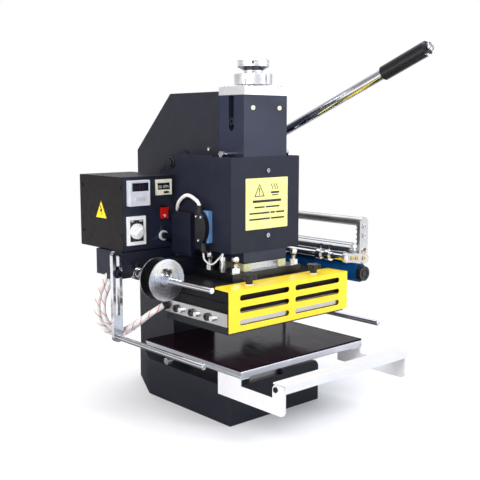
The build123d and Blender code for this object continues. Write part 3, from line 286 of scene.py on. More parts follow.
BLACK = powder_coat("black_enamel", (0.009, 0.011, 0.023), 0.42, sheen=0.3)
CASE_BLACK = powder_coat("case_enamel", (0.012, 0.01, 0.01), 0.46, sheen=0.16)
PANEL = powder_coat("panel_enamel", (0.01, 0.013, 0.032), 0.42, grain=0.0008, sheen=0.35)
CASTING = (0.014, 0.015, 0.023)
BODY_BLACK = powder_coat("casting_enamel", CASTING, 0.4, grain=0.0016, depth=0.00009, sheen=0.4)
YELLOW = powder_coat("guard_yellow", (1.0, 0.7, 0.012), 0.34, change=0.03)
WHITE_COAT = powder_coat("white_coat", (0.68, 0.68, 0.7), 0.4, change=0.02)
STEEL = brushed("ground_steel", (0.55, 0.55, 0.58), 0.24, X)
STEEL_Y = brushed("milled_plate", (0.66, 0.64, 0.62), 0.32, Y)
DARK_STEEL = brushed("dark_steel", (0.06, 0.06, 0.066), 0.34, Z)
BLUE_BLACK = (0.014, 0.019, 0.042)
COLUMN_BLUE = powder_coat("column_enamel", BLUE_BLACK, 0.36, grain=0.0022, depth=0.0002, sheen=0.45)
ALUMINIUM = brushed("milled_aluminium", (0.86, 0.87, 0.92), 0.34, X)
BRIGHT_PLATE = brushed("bright_plate", (0.97, 0.97, 0.98), 0.5, X)
ZINC = brushed("bright_zinc", (0.82, 0.83, 0.87), 0.2, Z)
BRASS = brushed("brass", (0.75, 0.55, 0.2), 0.25, Z)
BRONZE = brushed("bronze", (0.5, 0.33, 0.15), 0.35, X)
CHROME = chrome("polished_chrome")
KNOB = turned("turned_knob", (0.93, 0.93, 0.94), 0.4, "Z")
# Dark turned metal for the knob's undercut: a painted reflection of the dark column
KNOB_PAINTED_REFLECTION = turned("knob_painted_reflection", (0.16, 0.17, 0.2), 0.25, "Z")
REEL = turned("turned_reel", (0.78, 0.8, 0.87), 0.27, "Y", 0.7)
# Dark metal for the inner face of the reel's rear flange: a painted reflection
REEL_PAINTED_REFLECTION = turned("reel_painted_reflection", (0.1, 0.095, 0.09), 0.3, "Y")
BLACK_PLASTIC = plastic("black_plastic", (0.008, 0.008, 0.01), 0.3)
GRIP = plastic("grip_vinyl", (0.008, 0.008, 0.01), 0.25, grain=0.0015)
WHITE_PLASTIC = plastic("white_plastic", (0.85, 0.85, 0.85), 0.4)
SILVER_PLASTIC = plastic("silver_plastic", (0.6, 0.62, 0.67), 0.3)
CREAM_PLASTIC = plastic("cream_plastic", (0.85, 0.83, 0.66), 0.4)
CREAM_SCREW = plastic("cream_screw", (0.85, 0.8, 0.62), 0.35)
RED_PLASTIC = plastic("red_plastic", (0.62, 0.01, 0.008), 0.18)
BLUE_PLASTIC = plastic("blue_plastic", (0.12, 0.27, 0.55), 0.4)
LAMINATE = laminate("table_laminate", (0.009, 0.0035, 0.006))
RUBBER = rubber("blue_rubber", (0.0, 0.065, 0.22))
BOARD = board("insulating_board", (0.66, 0.66, 0.38))
HEATER_CASE = powder_coat("heater_case", (0.007, 0.0065, 0.0075), 0.42, sheen=0.14)
SCREEN = screen("display_window", (0.006, 0.008, 0.016))
LABEL = powder_coat("label_yellow", (0.98, 0.88, 0.3), 0.45, grain=0.002, depth=0.00001)
SIGN = powder_coat("sign_yellow", (0.95, 0.7, 0.01), 0.4, grain=0.002, depth=0.00001)
INK = plastic("label_ink", (0.01, 0.01, 0.012), 0.5)
PALE_INK = plastic("pale_ink", (0.8, 0.8, 0.8), 0.5)
CABLE = plastic("white_jacket", (0.82, 0.81, 0.78), 0.45)
SLEEVE_RADIUS = 6.0
SLEEVE = woven("woven_sleeve", (0.82, 0.81, 0.79), (0.55, 0.02, 0.03), 45.0, SLEEVE_RADIUS * MM)

FINISH = {
    "base_casting": BODY_BLACK,
    "body_housing": BODY_BLACK,
    "shaft_bushes": BLACK,
    "guide_column": COLUMN_BLUE,
    "top_plate": BRIGHT_PLATE,
    "adjusting_knob": KNOB,
    "lock_collar": KNOB,
    "adjusting_block": STEEL,
    "upper_toggle_link": STEEL_Y,
    "lower_toggle_link": STEEL_Y,
    "connecting_rod": STEEL_Y,
    "crank_shaft": STEEL,
    "lever_arm": CHROME,
    "lever_grip": GRIP,
    "ram": STEEL,
    "return_springs": ZINC,
    "head_cover": BLACK,
    "head_side_plates": BLACK,
    "frame_screws": ZINC,
    "insulating_spacers": BOARD,
    "press_plate": DARK_STEEL,
    "levelling_screws": ZINC,
    "heater_block": HEATER_CASE,
    "chase_plate": STEEL_Y,
    "heater_rods": ZINC,
    "die_plate": DARK_STEEL,
    "hand_guard": YELLOW,
    "guard_knob_left": BLACK_PLASTIC,
    "guard_knob_right": BLACK_PLASTIC,
    "heater_cable": CABLE,
    "table_plate": ALUMINIUM,
    "table_sheet": LAMINATE,
    "slide_rail": STEEL_Y,
    "table_carriage": DARK_STEEL,
    "table_lock_screw": ZINC,
    "pull_frame": WHITE_COAT,
    "unwind_housing": BLACK,
    "feed_arms": BLACK,
    "guide_bar_right": CHROME,
    "guide_bar_left": CHROME,
    "reel_shaft": CHROME,
    "reel_discs": REEL,
    "feed_frame": STEEL_Y,
    "feed_roller": RUBBER,
    "pinch_blocks": BRONZE,
    "pinch_roller": CHROME,
    "pinch_springs": ZINC,
    "rewind_rod": CHROME,
    "feed_motor": BLACK,
    "control_box": CASE_BLACK,
    "control_panel": PANEL,
    "temperature_controller": SILVER_PLASTIC,
    "counter_body": CREAM_PLASTIC,
    "counter_reset_button": BLACK_PLASTIC,
    "timer_body": WHITE_PLASTIC,
    "timer_dial": WHITE_PLASTIC,
    "rocker_switch": BLACK_PLASTIC,
    "rocker": RED_PLASTIC,
    "connector": BLACK_PLASTIC,
    "connector_cable": CABLE,
}

# Edge rounding, in millimetres, of the nodes that show one
SHARP = 0.25
ROUNDED = {
    "base_casting": 2.0,
    "body_housing": 1.5,
    "guide_column": 1.0,
    "control_box": 1.0,
    "unwind_housing": 1.0,
    "head_cover": 0.8,
    "table_plate": 0.6,
    "pull_frame": 0.8,
    "hand_guard": 0.3,
    "feed_motor": 1.5,
}
UNROUNDED = ("return_springs", "pinch_springs", "heater_cable", "connector_cable")


def dress(name, node):
    """Give a CAD node its finish, and round its edges with modifiers that leave its mesh alone."""
    node.data.materials.clear()
    node.data.materials.append(FINISH[name])
    if name in UNROUNDED:
        return
    weld = node.modifiers.new("weld", "WELD")
    weld.merge_threshold = TOUCH * MM
    bevel = node.modifiers.new("bevel", "BEVEL")
    bevel.width = ROUNDED.get(name, SHARP) * MM
    bevel.segments = 2
    bevel.limit_method = "ANGLE"
    bevel.angle_limit = radians(35)
    bevel.use_clamp_overlap = True
    normals = node.modifiers.new("normals", "WEIGHTED_NORMAL")
    normals.keep_sharp = False


for node_name, node_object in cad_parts.items():
    dress(node_name, node_object)


# Second finishes of nodes that are made of several materials

def box_mm(name):
    """(lowest corner, highest corner) of a CAD node in millimetres."""
    low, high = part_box(name)
    return Vector(low) / MM, Vector(high) / MM


def recolour(name, material, test):
    """Another finish on the faces of a node whose centre, in millimetres, passes the test."""
    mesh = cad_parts[name].data
    mesh.materials.append(material)
    index = len(mesh.materials) - 1
    for polygon in mesh.polygons:
        if test(polygon.center / MM):
            polygon.material_index = index


def distance(point, a, b, axes):
    """How far a point lies from the line through (a, b) square to two axes."""
    return ((point[axes[0]] - a) ** 2 + (point[axes[1]] - b) ** 2) ** 0.5


def foil_finishes():
    """Black wings of the thumb screws, a painted dark reflection on the inside of the reel's rear flange
    and the end rings of the feed roller.
    """
    reel_low, reel_high = box_mm("reel_discs")
    reel_z = (reel_low.z + reel_high.z) / 2
    hub_length, flange_step, flange_thickness = 14.7, 31.3, 2.0
    flange_back = reel_high.y - hub_length
    flange_front = flange_back - flange_step
    inside = flange_back - flange_thickness

    def on_flange(point):
        on_front = flange_front - 2.2 < point.y < flange_front + 0.2
        return on_front or flange_back - 4.2 < point.y < flange_back + 0.2

    def on_thumb_screw(point):
        return point.z > reel_z + 11 and not on_flange(point)

    recolour("reel_discs", BLACK_PLASTIC, on_thumb_screw)
    # The rear flange's inner face gets dark metal, a painted reflection
    recolour("reel_discs", REEL_PAINTED_REFLECTION, lambda point: abs(point.y - inside) < TOUCH)
    recolour("reel_shaft", BLACK_PLASTIC, lambda point: point.z > reel_z + 13.5)
    rod_top = box_mm("rewind_rod")[1].z
    recolour("rewind_rod", BLACK_PLASTIC, lambda point: point.z > rod_top - 10)
    roller_low, roller_high = box_mm("feed_roller")
    ring_back = roller_low.y + 12
    recolour("feed_roller", BLACK_PLASTIC, lambda point: point.y < ring_back - TOUCH)
    recolour("feed_roller", ZINC, lambda point: point.y > roller_high.y - 32.9)


def fastener_finishes():
    """Pale column screws, steel cover screws, brass bracket screws, black clamps and dark case screws."""
    column_front = box_mm("guide_column")[0].y
    cover_front = box_mm("head_cover")[0].y
    bracket_front = box_mm("feed_frame")[0].y
    case_left = box_mm("control_box")[0].x
    bar_low, bar_high = box_mm("guide_bar_right")
    bar_front = bar_high.y - 10
    cover_top = box_mm("head_cover")[1].z
    head_height = 4.0

    def in_column(point):
        return column_front - head_height < point.y < column_front and point.z > cover_top

    def in_cover(point):
        return cover_front - head_height < point.y < cover_front and point.z < cover_top

    def in_clamp(point):
        return abs(point.x) > bar_low.x and bar_front - 12 < point.y < bar_high.y + 8

    recolour("frame_screws", CREAM_SCREW, in_column)
    recolour("frame_screws", STEEL, in_cover)
    recolour("frame_screws", BRASS, lambda point: point.y < bracket_front)
    recolour("frame_screws", BLACK_PLASTIC, in_clamp)
    recolour("frame_screws", BLACK, lambda point: point.x < case_left)


def head_finishes():
    """White washers, dark sleeves and pins, the plug's colours, a painted dark reflection on the knob's
    undercut and the end caps.
    """
    washer_top = box_mm("guard_knob_left")[0].z + 3.6
    for knob in ("guard_knob_left", "guard_knob_right"):
        recolour(knob, WHITE_PLASTIC, lambda point: point.z < washer_top)
    chase_left = box_mm("chase_plate")[0].x
    first_heater, heater_step, sleeve_radius = -53.0, 48.5, 8.0
    heaters = [first_heater + heater_step * index for index in range(3)]

    def on_sleeve(point):
        near = any(abs(point.y - heater) < sleeve_radius for heater in heaters)
        return near and point.x < chase_left - TOUCH

    recolour("heater_rods", BLACK_PLASTIC, on_sleeve)
    plate_left = box_mm("head_side_plates")[0].x
    socket_depth, hood_depth = 10, 20
    glands_low = box_mm("connector")[0].z

    def on_hood_screw(point):
        return point.x < plate_left - hood_depth - TOUCH and 20 < point.z - glands_low < 80

    recolour("connector", BLUE_PLASTIC, lambda point: point.x > plate_left - socket_depth - TOUCH)
    recolour("connector", ZINC, on_hood_screw)
    rim_height, cone_height = 14, 7.5
    rim_bottom = box_mm("adjusting_knob")[1].z - rim_height
    # The knob's undercut cone gets dark metal, a painted reflection of the dark column
    recolour("adjusting_knob", KNOB_PAINTED_REFLECTION, lambda point: rim_bottom - cone_height < point.z < rim_bottom)
    recolour("crank_shaft", BLACK_PLASTIC, lambda point: point.x < plate_left - 3)
    column_half = box_mm("guide_column")[1].x
    recolour("adjusting_block", DARK_STEEL, lambda point: abs(point.x) > column_half - 20)
    table_half = box_mm("table_plate")[1].x
    recolour("pull_frame", DARK_STEEL, lambda point: abs(point.x) > table_half + 0.1)
    grip_low, grip_high = box_mm("lever_grip")

    def on_end_cap(point):
        return point.y < grip_low.y + 8 and point.z > grip_high.z - 22

    recolour("lever_arm", BLACK_PLASTIC, on_end_cap)


def fuse_finish():
    """Bright ring round the dark cap of the fuse holder."""
    fuse_reach, ring_depth = 30, 4.1
    panel_front = box_mm("control_panel")[1].y - fuse_reach
    x, z, cap_radius, ring_width = -126.0, 358.0, 7.0, 5.0

    def in_reach(point):
        return distance(point, x, z, (0, 2)) < cap_radius + ring_width

    def on_cap(point):
        return in_reach(point) and point.y < panel_front - ring_depth

    def on_ring(point):
        outside_cap = distance(point, x, z, (0, 2)) > cap_radius - 0.5
        return in_reach(point) and outside_cap and panel_front - ring_depth < point.y < panel_front - 0.1

    recolour("control_panel", BLACK_PLASTIC, on_cap)
    recolour("control_panel", SILVER_PLASTIC, on_ring)


foil_finishes()
fastener_finishes()
head_finishes()
fuse_finish()


# Shapes of the added pieces

class Shape:
    """Vertices in millimetres and the faces of one piece, filled in by the methods."""

    def __init__(self):
        self.vertices = []
        self.faces = []

    def prism(self, outline, place, depth, start=0.0):
        """Solid on an outline of (a, b) points. place(a, b, c) gives each point in space."""
        first = len(self.vertices)
        count = len(outline)
        for c in (start, start + depth):
            self.vertices.extend(place(a, b, c) for a, b in outline)
        self.faces.append(tuple(range(first, first + count)))
        self.faces.append(tuple(range(first + count, first + 2 * count)))
        for index in range(count):
            after = (index + 1) % count
            self.faces.append((first + index, first + after, first + count + after, first + count + index))

    def band(self, outer, inner, place, depth, start=0.0):
        """Flat frame between two outlines with the same number of points."""
        count = len(outer)
        for index in range(count):
            after = (index + 1) % count
            self.prism([outer[index], outer[after], inner[after], inner[index]], place, depth, start)

    def piece(self, name, material, body, bevel=0.0):
        """Make the object, rounding its edges by bevel millimetres, and let it ride on a body."""
        mesh = bpy.data.meshes.new(name)
        mesh.from_pydata([Vector(vertex) * MM for vertex in self.vertices], [], self.faces)
        cleaned = bmesh.new()
        cleaned.from_mesh(mesh)
        bmesh.ops.remove_doubles(cleaned, verts=cleaned.verts, dist=TOUCH * MM)
        bmesh.ops.recalc_face_normals(cleaned, faces=cleaned.faces)
        cleaned.to_mesh(mesh)
        cleaned.free()
        mesh.materials.append(material)
        made = bpy.data.objects.new(name, mesh)
        bpy.context.scene.collection.objects.link(made)
        if bevel:
            rounding = made.modifiers.new("bevel", "BEVEL")
            rounding.width = bevel * MM
            rounding.segments = 2
            rounding.limit_method = "ANGLE"
        if body:
            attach(made, body)
        return made


def rectangle(a0, a1, b0, b1):
    return [(a0, b0), (a1, b0), (a1, b1), (a0, b1)]


def circle(a, b, radius, count=24):
    turns = [2 * pi * index / count for index in range(count)]
    return [(a + radius * cos(turn), b + radius * sin(turn)) for turn in turns]


def rounded(a0, a1, b0, b1, radius):
    """Rectangle with round corners."""
    points = []
    for a, b, quarter in ((a1 - radius, b1 - radius, 0), (a0 + radius, b1 - radius, 1),
                          (a0 + radius, b0 + radius, 2), (a1 - radius, b0 + radius, 3)):
        for step in range(5):
            turn = (quarter + step / 4) * pi / 2
            points.append((a + radius * cos(turn), b + radius * sin(turn)))
    return points


def triangle(a, b, half, height):
    """Triangle standing on its base, which is centred on (a, b)."""
    return [(a - half, b), (a + half, b), (a, b + height)]


def facing_front(y):
    """Place for shapes drawn in (x, z) on a face at y that looks at the operator."""
    return lambda a, b, c: (a, y - c, b)


def facing_left(x):
    """Place for shapes drawn in (y, z) on a face at x that looks to the left."""
    return lambda a, b, c: (x - c, a, b)


def curve(points, steps=12):
    """Smooth path through the points."""
    ends = [points[0] * 2 - points[1], *points, points[-1] * 2 - points[-2]]
    path = []
    for first, second, third, fourth in zip(ends, ends[1:], ends[2:], ends[3:]):
        for step in range(steps):
            t = step / steps
            path.append(0.5 * (
                second * 2
                + (third - first) * t
                + (first * 2 - second * 5 + third * 4 - fourth) * t ** 2
                + (second * 3 - first - third * 3 + fourth) * t ** 3
            ))
    return [*path, points[-1]]


def tube(name, path, radius, material, sides=20):
    """Round tube along a path in millimetres, with a map: u round it, v along it in metres."""
    mesh = bpy.data.meshes.new(name)
    vertices, faces, lengths = [], [], [0.0]
    across = Z if abs((path[1] - path[0]).normalized().dot(Z)) < 0.9 else X
    for index, point in enumerate(path):
        before, after = path[max(index - 1, 0)], path[min(index + 1, len(path) - 1)]
        forward = (after - before).normalized()
        across = (across - forward * across.dot(forward)).normalized()
        side = forward.cross(across)
        for step in range(sides):
            turn = 2 * pi * step / sides
            vertices.append((point + (across * cos(turn) + side * sin(turn)) * radius) * MM)
        if index:
            lengths.append(lengths[-1] + (point - path[index - 1]).length * MM)
    rings = len(path)
    for ring in range(rings - 1):
        for step in range(sides):
            after = (step + 1) % sides
            faces.append((ring * sides + step, ring * sides + after,
                          (ring + 1) * sides + after, (ring + 1) * sides + step))
    faces.append(tuple(range(sides - 1, -1, -1)))
    faces.append(tuple(range((rings - 1) * sides, rings * sides)))
    mesh.from_pydata(vertices, [], faces)
    layer = mesh.uv_layers.new(name="map")
    for polygon in mesh.polygons:
        for corner, loop in enumerate(polygon.loop_indices):
            ring, step = divmod(mesh.loops[loop].vertex_index, sides)
            if len(polygon.vertices) == 4 and corner in (1, 2) and step == 0:
                step = sides
            layer.data[loop].uv = (step / sides, lengths[ring])
    mesh.polygons.foreach_set("use_smooth", [len(polygon.vertices) == 4 for polygon in mesh.polygons])
    mesh.materials.append(material)
    made = bpy.data.objects.new(name, mesh)
    bpy.context.scene.collection.objects.link(made)
    return made


def coil(x, y, low, high, radius, turns, steps=20):
    """Path of a coil spring round an upright axis, with a flat turn at both ends."""
    path = []
    count = turns * steps
    for step in range(count + 1):
        turn = 2 * pi * step / steps
        share = min(max((step - steps) / (count - 2 * steps), 0.0), 1.0)
        path.append(Vector((x + radius * cos(turn), y + radius * sin(turn), low + (high - low) * share)))
    return path


# Springs and cables

def spring_pair(name, axis, radius, turns):
    """Two coil springs, apart along an axis (0 is x, 1 is y), in the box of the CAD springs."""
    wire = 1.0
    low, high = box_mm(name)
    reach = (high - low)[axis] / 2 - radius - wire
    for index, side in enumerate((-1, 1)):
        centre = (low + high) / 2
        centre[axis] += side * reach
        path = coil(centre.x, centre.y, low.z + wire, high.z - wire, radius, turns)
        made = tube(f"{name}_{index + 1}", path, wire, ZINC, 8)
        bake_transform(made)
        if index == 0:
            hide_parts(name)


def cables():
    """Woven sleeves from the head's plug into the housing, with a black boot where they leave the chase
    plate.
    """
    chase_left = box_mm("chase_plate")[0].x
    start_y, start_z = 78.0, 226.0
    routes = (
        ((-7, 0, 0), (-25, 19, -17), (-59, 74, -58), (-89, 86, -36), (-93, 90, 6), (-57, 106, 55)),
        ((-5, 2, -1), (-20, 27, -20), (-52, 81, -66), (-97, 89, -46), (-105, 93, 4), (-67, 112, 55)),
    )
    origin = Vector((chase_left, start_y, start_z))
    for index, route in enumerate(routes):
        path = curve([origin + Vector(step) for step in route])
        sleeve = tube(f"heater_sleeve_{index + 1}", path, SLEEVE_RADIUS, SLEEVE)
        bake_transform(sleeve)
        if index == 0:
            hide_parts("heater_cable")
    boot = Shape()
    boot.prism(circle(start_y, start_z, 9, 20), facing_left(chase_left), 9)
    boot.piece("heater_cable_boot", BLACK_PLASTIC, "head", 1.5)


spring_pair("return_springs", 0, 4.2, 12)
spring_pair("pinch_springs", 1, 4.0, 7)
cables()


# Panel instruments

SEGMENTS = {"0": "abcdef", "1": "bc", "2": "abdeg", "4": "bcfg", "8": "abcdefg"}


def digit(shape, text, a, b, height, place):
    """Number drawn with seven straight strokes; (a, b) is its lower left corner."""
    half, stroke, gap = height / 2, height * 0.13, height * 0.03
    width = height * 0.55
    strokes = {
        "a": (gap, width - gap, height - stroke, height),
        "b": (width - stroke, width, half + gap, height - gap),
        "c": (width - stroke, width, gap, half - gap),
        "d": (gap, width - gap, 0, stroke),
        "e": (0, stroke, gap, half - gap),
        "f": (0, stroke, half + gap, height - gap),
        "g": (gap, width - gap, half - stroke / 2, half + stroke / 2),
    }
    for segment in SEGMENTS[text]:
        a0, a1, b0, b1 = strokes[segment]
        shape.prism(rectangle(a + a0, a + a1, b + b0, b + b1), place, PRINT)


def controller_face():
    """Dark display over a pale key field with three keys."""
    low, high = box_mm("temperature_controller")
    x0, x1, z0, z1 = low.x, high.x, low.z, high.z
    on_face = facing_front(low.y)
    window = Shape()
    window.prism(rounded(x0 + 6.3, x1 - 3.3, z1 - 21.7, z1 - 5.3, 0.8), on_face, 1.0, -1.4)
    window.piece("controller_display", SCREEN, "frame")
    digits = Shape()
    for index, text in enumerate("120"):
        digit(digits, text, x0 + 14 + 8 * index, z1 - 18, 9, facing_front(low.y + 0.35))
    digits.piece("controller_digits", plastic("display_red", (0.06, 0.012, 0.012), 0.2), "frame")
    keys = Shape()
    for index in range(3):
        a = x0 + 14 + 8.5 * index
        keys.prism(rounded(a, a + 6.5, z0 + 10, z0 + 18, 1.2), on_face, 1.4, -0.6)
    keys.piece("controller_keys", plastic("key_grey", (0.5, 0.51, 0.53), 0.35), "frame", 0.2)
    rim = Shape()
    outer = rounded(x0 + 0.4, x1 - 0.4, z0 + 0.4, z1 - 0.4, 2)
    rim.band(outer, rounded(x0 + 2.6, x1 - 1.8, z0 + 2, z1 - 2.4, 1), on_face, 1.2)
    rim.piece("controller_rim", SILVER_PLASTIC, "frame", 0.4)


def counter_face():
    """Black number window with six drums."""
    low, high = box_mm("counter_body")
    x0, x1, z1 = low.x, high.x, high.z
    window = Shape()
    window.prism(rectangle(x0 + 3.1, x1 - 5.1, z1 - 20.9, z1 - 7.1), facing_front(low.y), 0.8, -1.1)
    window.piece("counter_window", SCREEN, "frame")
    digits = Shape()
    for index, text in enumerate("001204"):
        digit(digits, text, x0 + 5.2 + 4.4 * index, z1 - 17.6, 5.4, facing_front(low.y + 0.25))
    digits.piece("counter_digits", PALE_INK, "frame")


def tick(x, z, turn, inner, outer):
    """Outline of a thin stroke from one radius to another round (x, z)."""
    half_width = 0.18
    direction = Vector((cos(turn), sin(turn)))
    side = Vector((-direction.y, direction.x)) * half_width
    near = Vector((x, z)) + direction * inner
    far = Vector((x, z)) + direction * outer
    return [tuple(corner) for corner in (near - side, far - side, far + side, near + side)]


def timer_face():
    """Dark field behind the dial with a scale of ticks and two plain bars."""
    low, high = box_mm("timer_body")
    x0, x1, z0, z1 = low.x + 6.2, high.x - 5.3, low.z + 7, high.z - 7.5
    dial_low, dial_high = box_mm("timer_dial")
    x, z = (dial_low.x + dial_high.x) / 2, (dial_low.z + dial_high.z) / 2
    radius = (dial_high.x - dial_low.x) / 2
    place = facing_front(low.y)
    field = Shape()
    field.band(rounded(x0 + 0.1, x1 - 0.1, z0 + 0.1, z1 - 0.1, 0.3), circle(x, z, 4, 20), place, 0.3, -1.45)
    field.piece("timer_field", BLACK_PLASTIC, "frame")
    scale = Shape()
    scale_depth, count, spread = -1.2, 25, 300
    for index in range(count):
        turn = radians(-60 + spread / (count - 1) * index)
        length = 2.2 if index % 4 == 0 else 1.5
        corners = tick(x, z, turn, radius + 0.6, radius + length)
        if all(x0 < a < x1 and z0 < b < z1 for a, b in corners):
            scale.prism(corners, place, PRINT, scale_depth)
    for a0, a1 in ((x0 + 3, x0 + 9), (x1 - 10, x1 - 2)):
        scale.prism(rectangle(a0, a1, z1 - 3.4, z1 - 1.6), place, PRINT, scale_depth)
    scale.piece("timer_scale", PALE_INK, "frame")
    ring = Shape()
    outer, inner = circle(x, z, radius - 0.6, 36), circle(x, z, radius - 2.4, 36)
    ring.band(outer, inner, facing_front(dial_low.y + 3), 0.5, -3.0)
    ring.piece("timer_dial_ring", PALE_INK, "dial")


def rocker_marks():
    """On and off marks on the two halves of the rocker."""
    low, high = box_mm("rocker")
    x, z = (low.x + high.x) / 2, (low.z + high.z) / 2
    face_low, face_high = low.y + 0.9, low.y + 3.4

    def upper(a, b, c):
        return (a, face_high + (z + 10 - b) * 0.13 - c, b)

    def lower(a, b, c):
        return (a, face_low + (b - z + 10) * 0.28 - c, b)

    marks = Shape()
    marks.prism(rectangle(x - 0.6, x + 0.6, z + 3, z + 8), upper, 0.6)
    marks.band(circle(x, z - 5.5, 2.5, 20), circle(x, z - 5.5, 1.6, 20), lower, 0.6)
    marks.piece("rocker_marks", PALE_INK, "rocker_key")


controller_face()
counter_face()
timer_face()
rocker_marks()


# Signs

def danger_sign(ink, place, a, b):
    """Triangle with an exclamation mark, standing on (a, b)."""
    half, height = 14.0, 26.0
    ink.band(triangle(a, b, half, height), triangle(a, b + 1.8, half - 3.2, height - 5.4), place, PRINT)
    ink.prism([(a - 0.9, b + 7), (a + 0.9, b + 7), (a + 1.5, b + 17), (a - 1.5, b + 17)], place, PRINT)
    ink.prism(circle(a, b + 4.3, 1.4, 12), place, PRINT)


def heat_sign(ink, place, a, b):
    """Three waves of heat over a flat surface, standing on (a, b)."""
    steps, sway, stroke = 8, 2.2, 2.0
    for index in range(3):
        left = a - 9 + 7 * index
        wave = [(left + sway * sin(step * pi / 4), b + 13 + 1.5 * step) for step in range(steps + 1)]
        for (a0, b0), (a1, b1) in zip(wave, wave[1:]):
            ink.prism([(a0, b0), (a1, b1), (a1 + stroke, b1), (a0 + stroke, b0)], place, PRINT)
    ink.prism(rounded(a - 12, a + 12, b + 5, b + 9, 1.5), place, PRINT)
    ink.prism(rectangle(a - 9, a + 9, b + 0.6, b + 2.6), place, PRINT)


def text_bars(ink, place, middle, top, width):
    """Rows of bars for lines of text: drop below the top, height, share of the width and its words."""
    gap = 3.0
    rows = (
        (49.0, 5.0, 0.68, (1.0,)),
        (60.0, 3.2, 0.6, (0.42, 0.58)),
        (72.0, 3.4, 0.84, (0.6, 0.14, 0.26)),
        (84.0, 3.4, 0.84, (0.6, 0.4)),
    )
    for drop, size, share, words in rows:
        room = width * share - gap * (len(words) - 1)
        a, b = middle - width * share / 2, top - drop
        for word in words:
            ink.prism(rounded(a, a + word * room, b, b + size, size * 0.3), place, PRINT)
            a += word * room + gap


def warning_plate():
    """Yellow plate on the front cover: two pictograms and four rows of bars for text."""
    low, high = box_mm("head_cover")
    x0, x1, z0, z1 = low.x + 38, high.x - 34, low.z + 44.5, high.z - 42.5
    thickness = 0.5
    plate = Shape()
    plate.prism(rounded(x0, x1, z0, z1, 1.5), facing_front(low.y), thickness)
    plate.piece("warning_plate", LABEL, "frame")
    ink = Shape()
    place = facing_front(low.y - thickness)
    width, signs_foot = x1 - x0, z1 - 37
    danger_sign(ink, place, x0 + width * 0.32, signs_foot)
    heat_sign(ink, place, x0 + width * 0.69, signs_foot)
    text_bars(ink, place, (x0 + x1) / 2, z1, width)
    ink.piece("warning_print", INK, "frame")


def shock_sign():
    """Yellow triangle with a flash on the left of the control box."""
    low = box_mm("control_box")[0]
    y, z, half, height = low.y + 79.5, low.z + 63, 21.5, 37.0
    plate = Shape()
    plate.prism(triangle(y, z, half, height), facing_left(low.x), 0.4)
    plate.piece("shock_sign", SIGN, "frame")
    ink = Shape()
    place = facing_left(low.x - 0.4)
    flash = [
        (y + 2, z + 27),
        (y - 5, z + 15),
        (y - 0.5, z + 15),
        (y - 3, z + 4),
        (y + 5, z + 18),
        (y + 0.8, z + 18),
        (y + 4.5, z + 27),
    ]
    ink.prism(flash, place, PRINT)
    ink.band(triangle(y, z, half, height), triangle(y, z + 0.9, half - 1.6, height - 2.6), place, PRINT)
    ink.piece("shock_sign_print", INK, "frame")


def wiring_duct():
    """Slim cable duct on the left side plate between the control box and the connector."""
    low = box_mm("head_side_plates")[0]
    y0, y1, z0, z1 = low.y + 60, low.y + 122, low.z - 16.5, low.z + 73.5
    duct = Shape()
    duct.prism(rectangle(y0, y1, z0, z1), facing_left(low.x), 10)
    duct.prism(rectangle(y0 - 1, y1 + 1, z0 + 4, z1 - 6), facing_left(low.x - 10), 2)
    duct.piece("wiring_duct", BLACK, "frame", 0.6)


warning_plate()
shock_sign()
wiring_duct()


def sensor_wire():
    """Thin pale wire that hangs from the connector's lower gland to the gland on the press plate."""
    low, high = box_mm("connector")
    press_top = box_mm("press_plate")[1].z
    start = Vector((low.x + 6.5, high.y - 21, low.z + 2))
    target = Vector((-75, 8, press_top + 33))
    path = curve([start, start + Vector((1, -4, -16)), Vector((start.x + 11, start.y - 14, press_top + 13)),
                  target + Vector((-9, 1, -9)), target])
    wire = tube("sensor_wire", path, 1.8, CABLE, 12)
    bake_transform(wire)


def lever_end():
    """Bright button in the middle of the lever's end cap."""
    rise, cap_radius = radians(22.6), 11.0
    along = Vector((0, -cos(rise), sin(rise)))
    up = Vector((0, sin(rise), cos(rise)))
    tip_y, tip_z = box_mm("lever_arm")[0].y, box_mm("lever_arm")[1].z
    grip_low, grip_high = box_mm("lever_grip")
    middle = Vector((
        (grip_low.x + grip_high.x) / 2,
        tip_y + cap_radius * sin(rise) - 2.5,
        tip_z - cap_radius * cos(rise) - 1,
    ))

    def on_cap(a, b, c):
        return middle + X * a + up * b + along * c

    button = Shape()
    button.prism(circle(0, 0, 5.5), on_cap, 4.5)
    button.band(circle(0, 0, 8.2), circle(0, 0, 7.2), on_cap, 4.0)
    button.piece("lever_end_button", ZINC, "lever", 0.4)


sensor_wire()
lever_end()


# Camera, light and floor

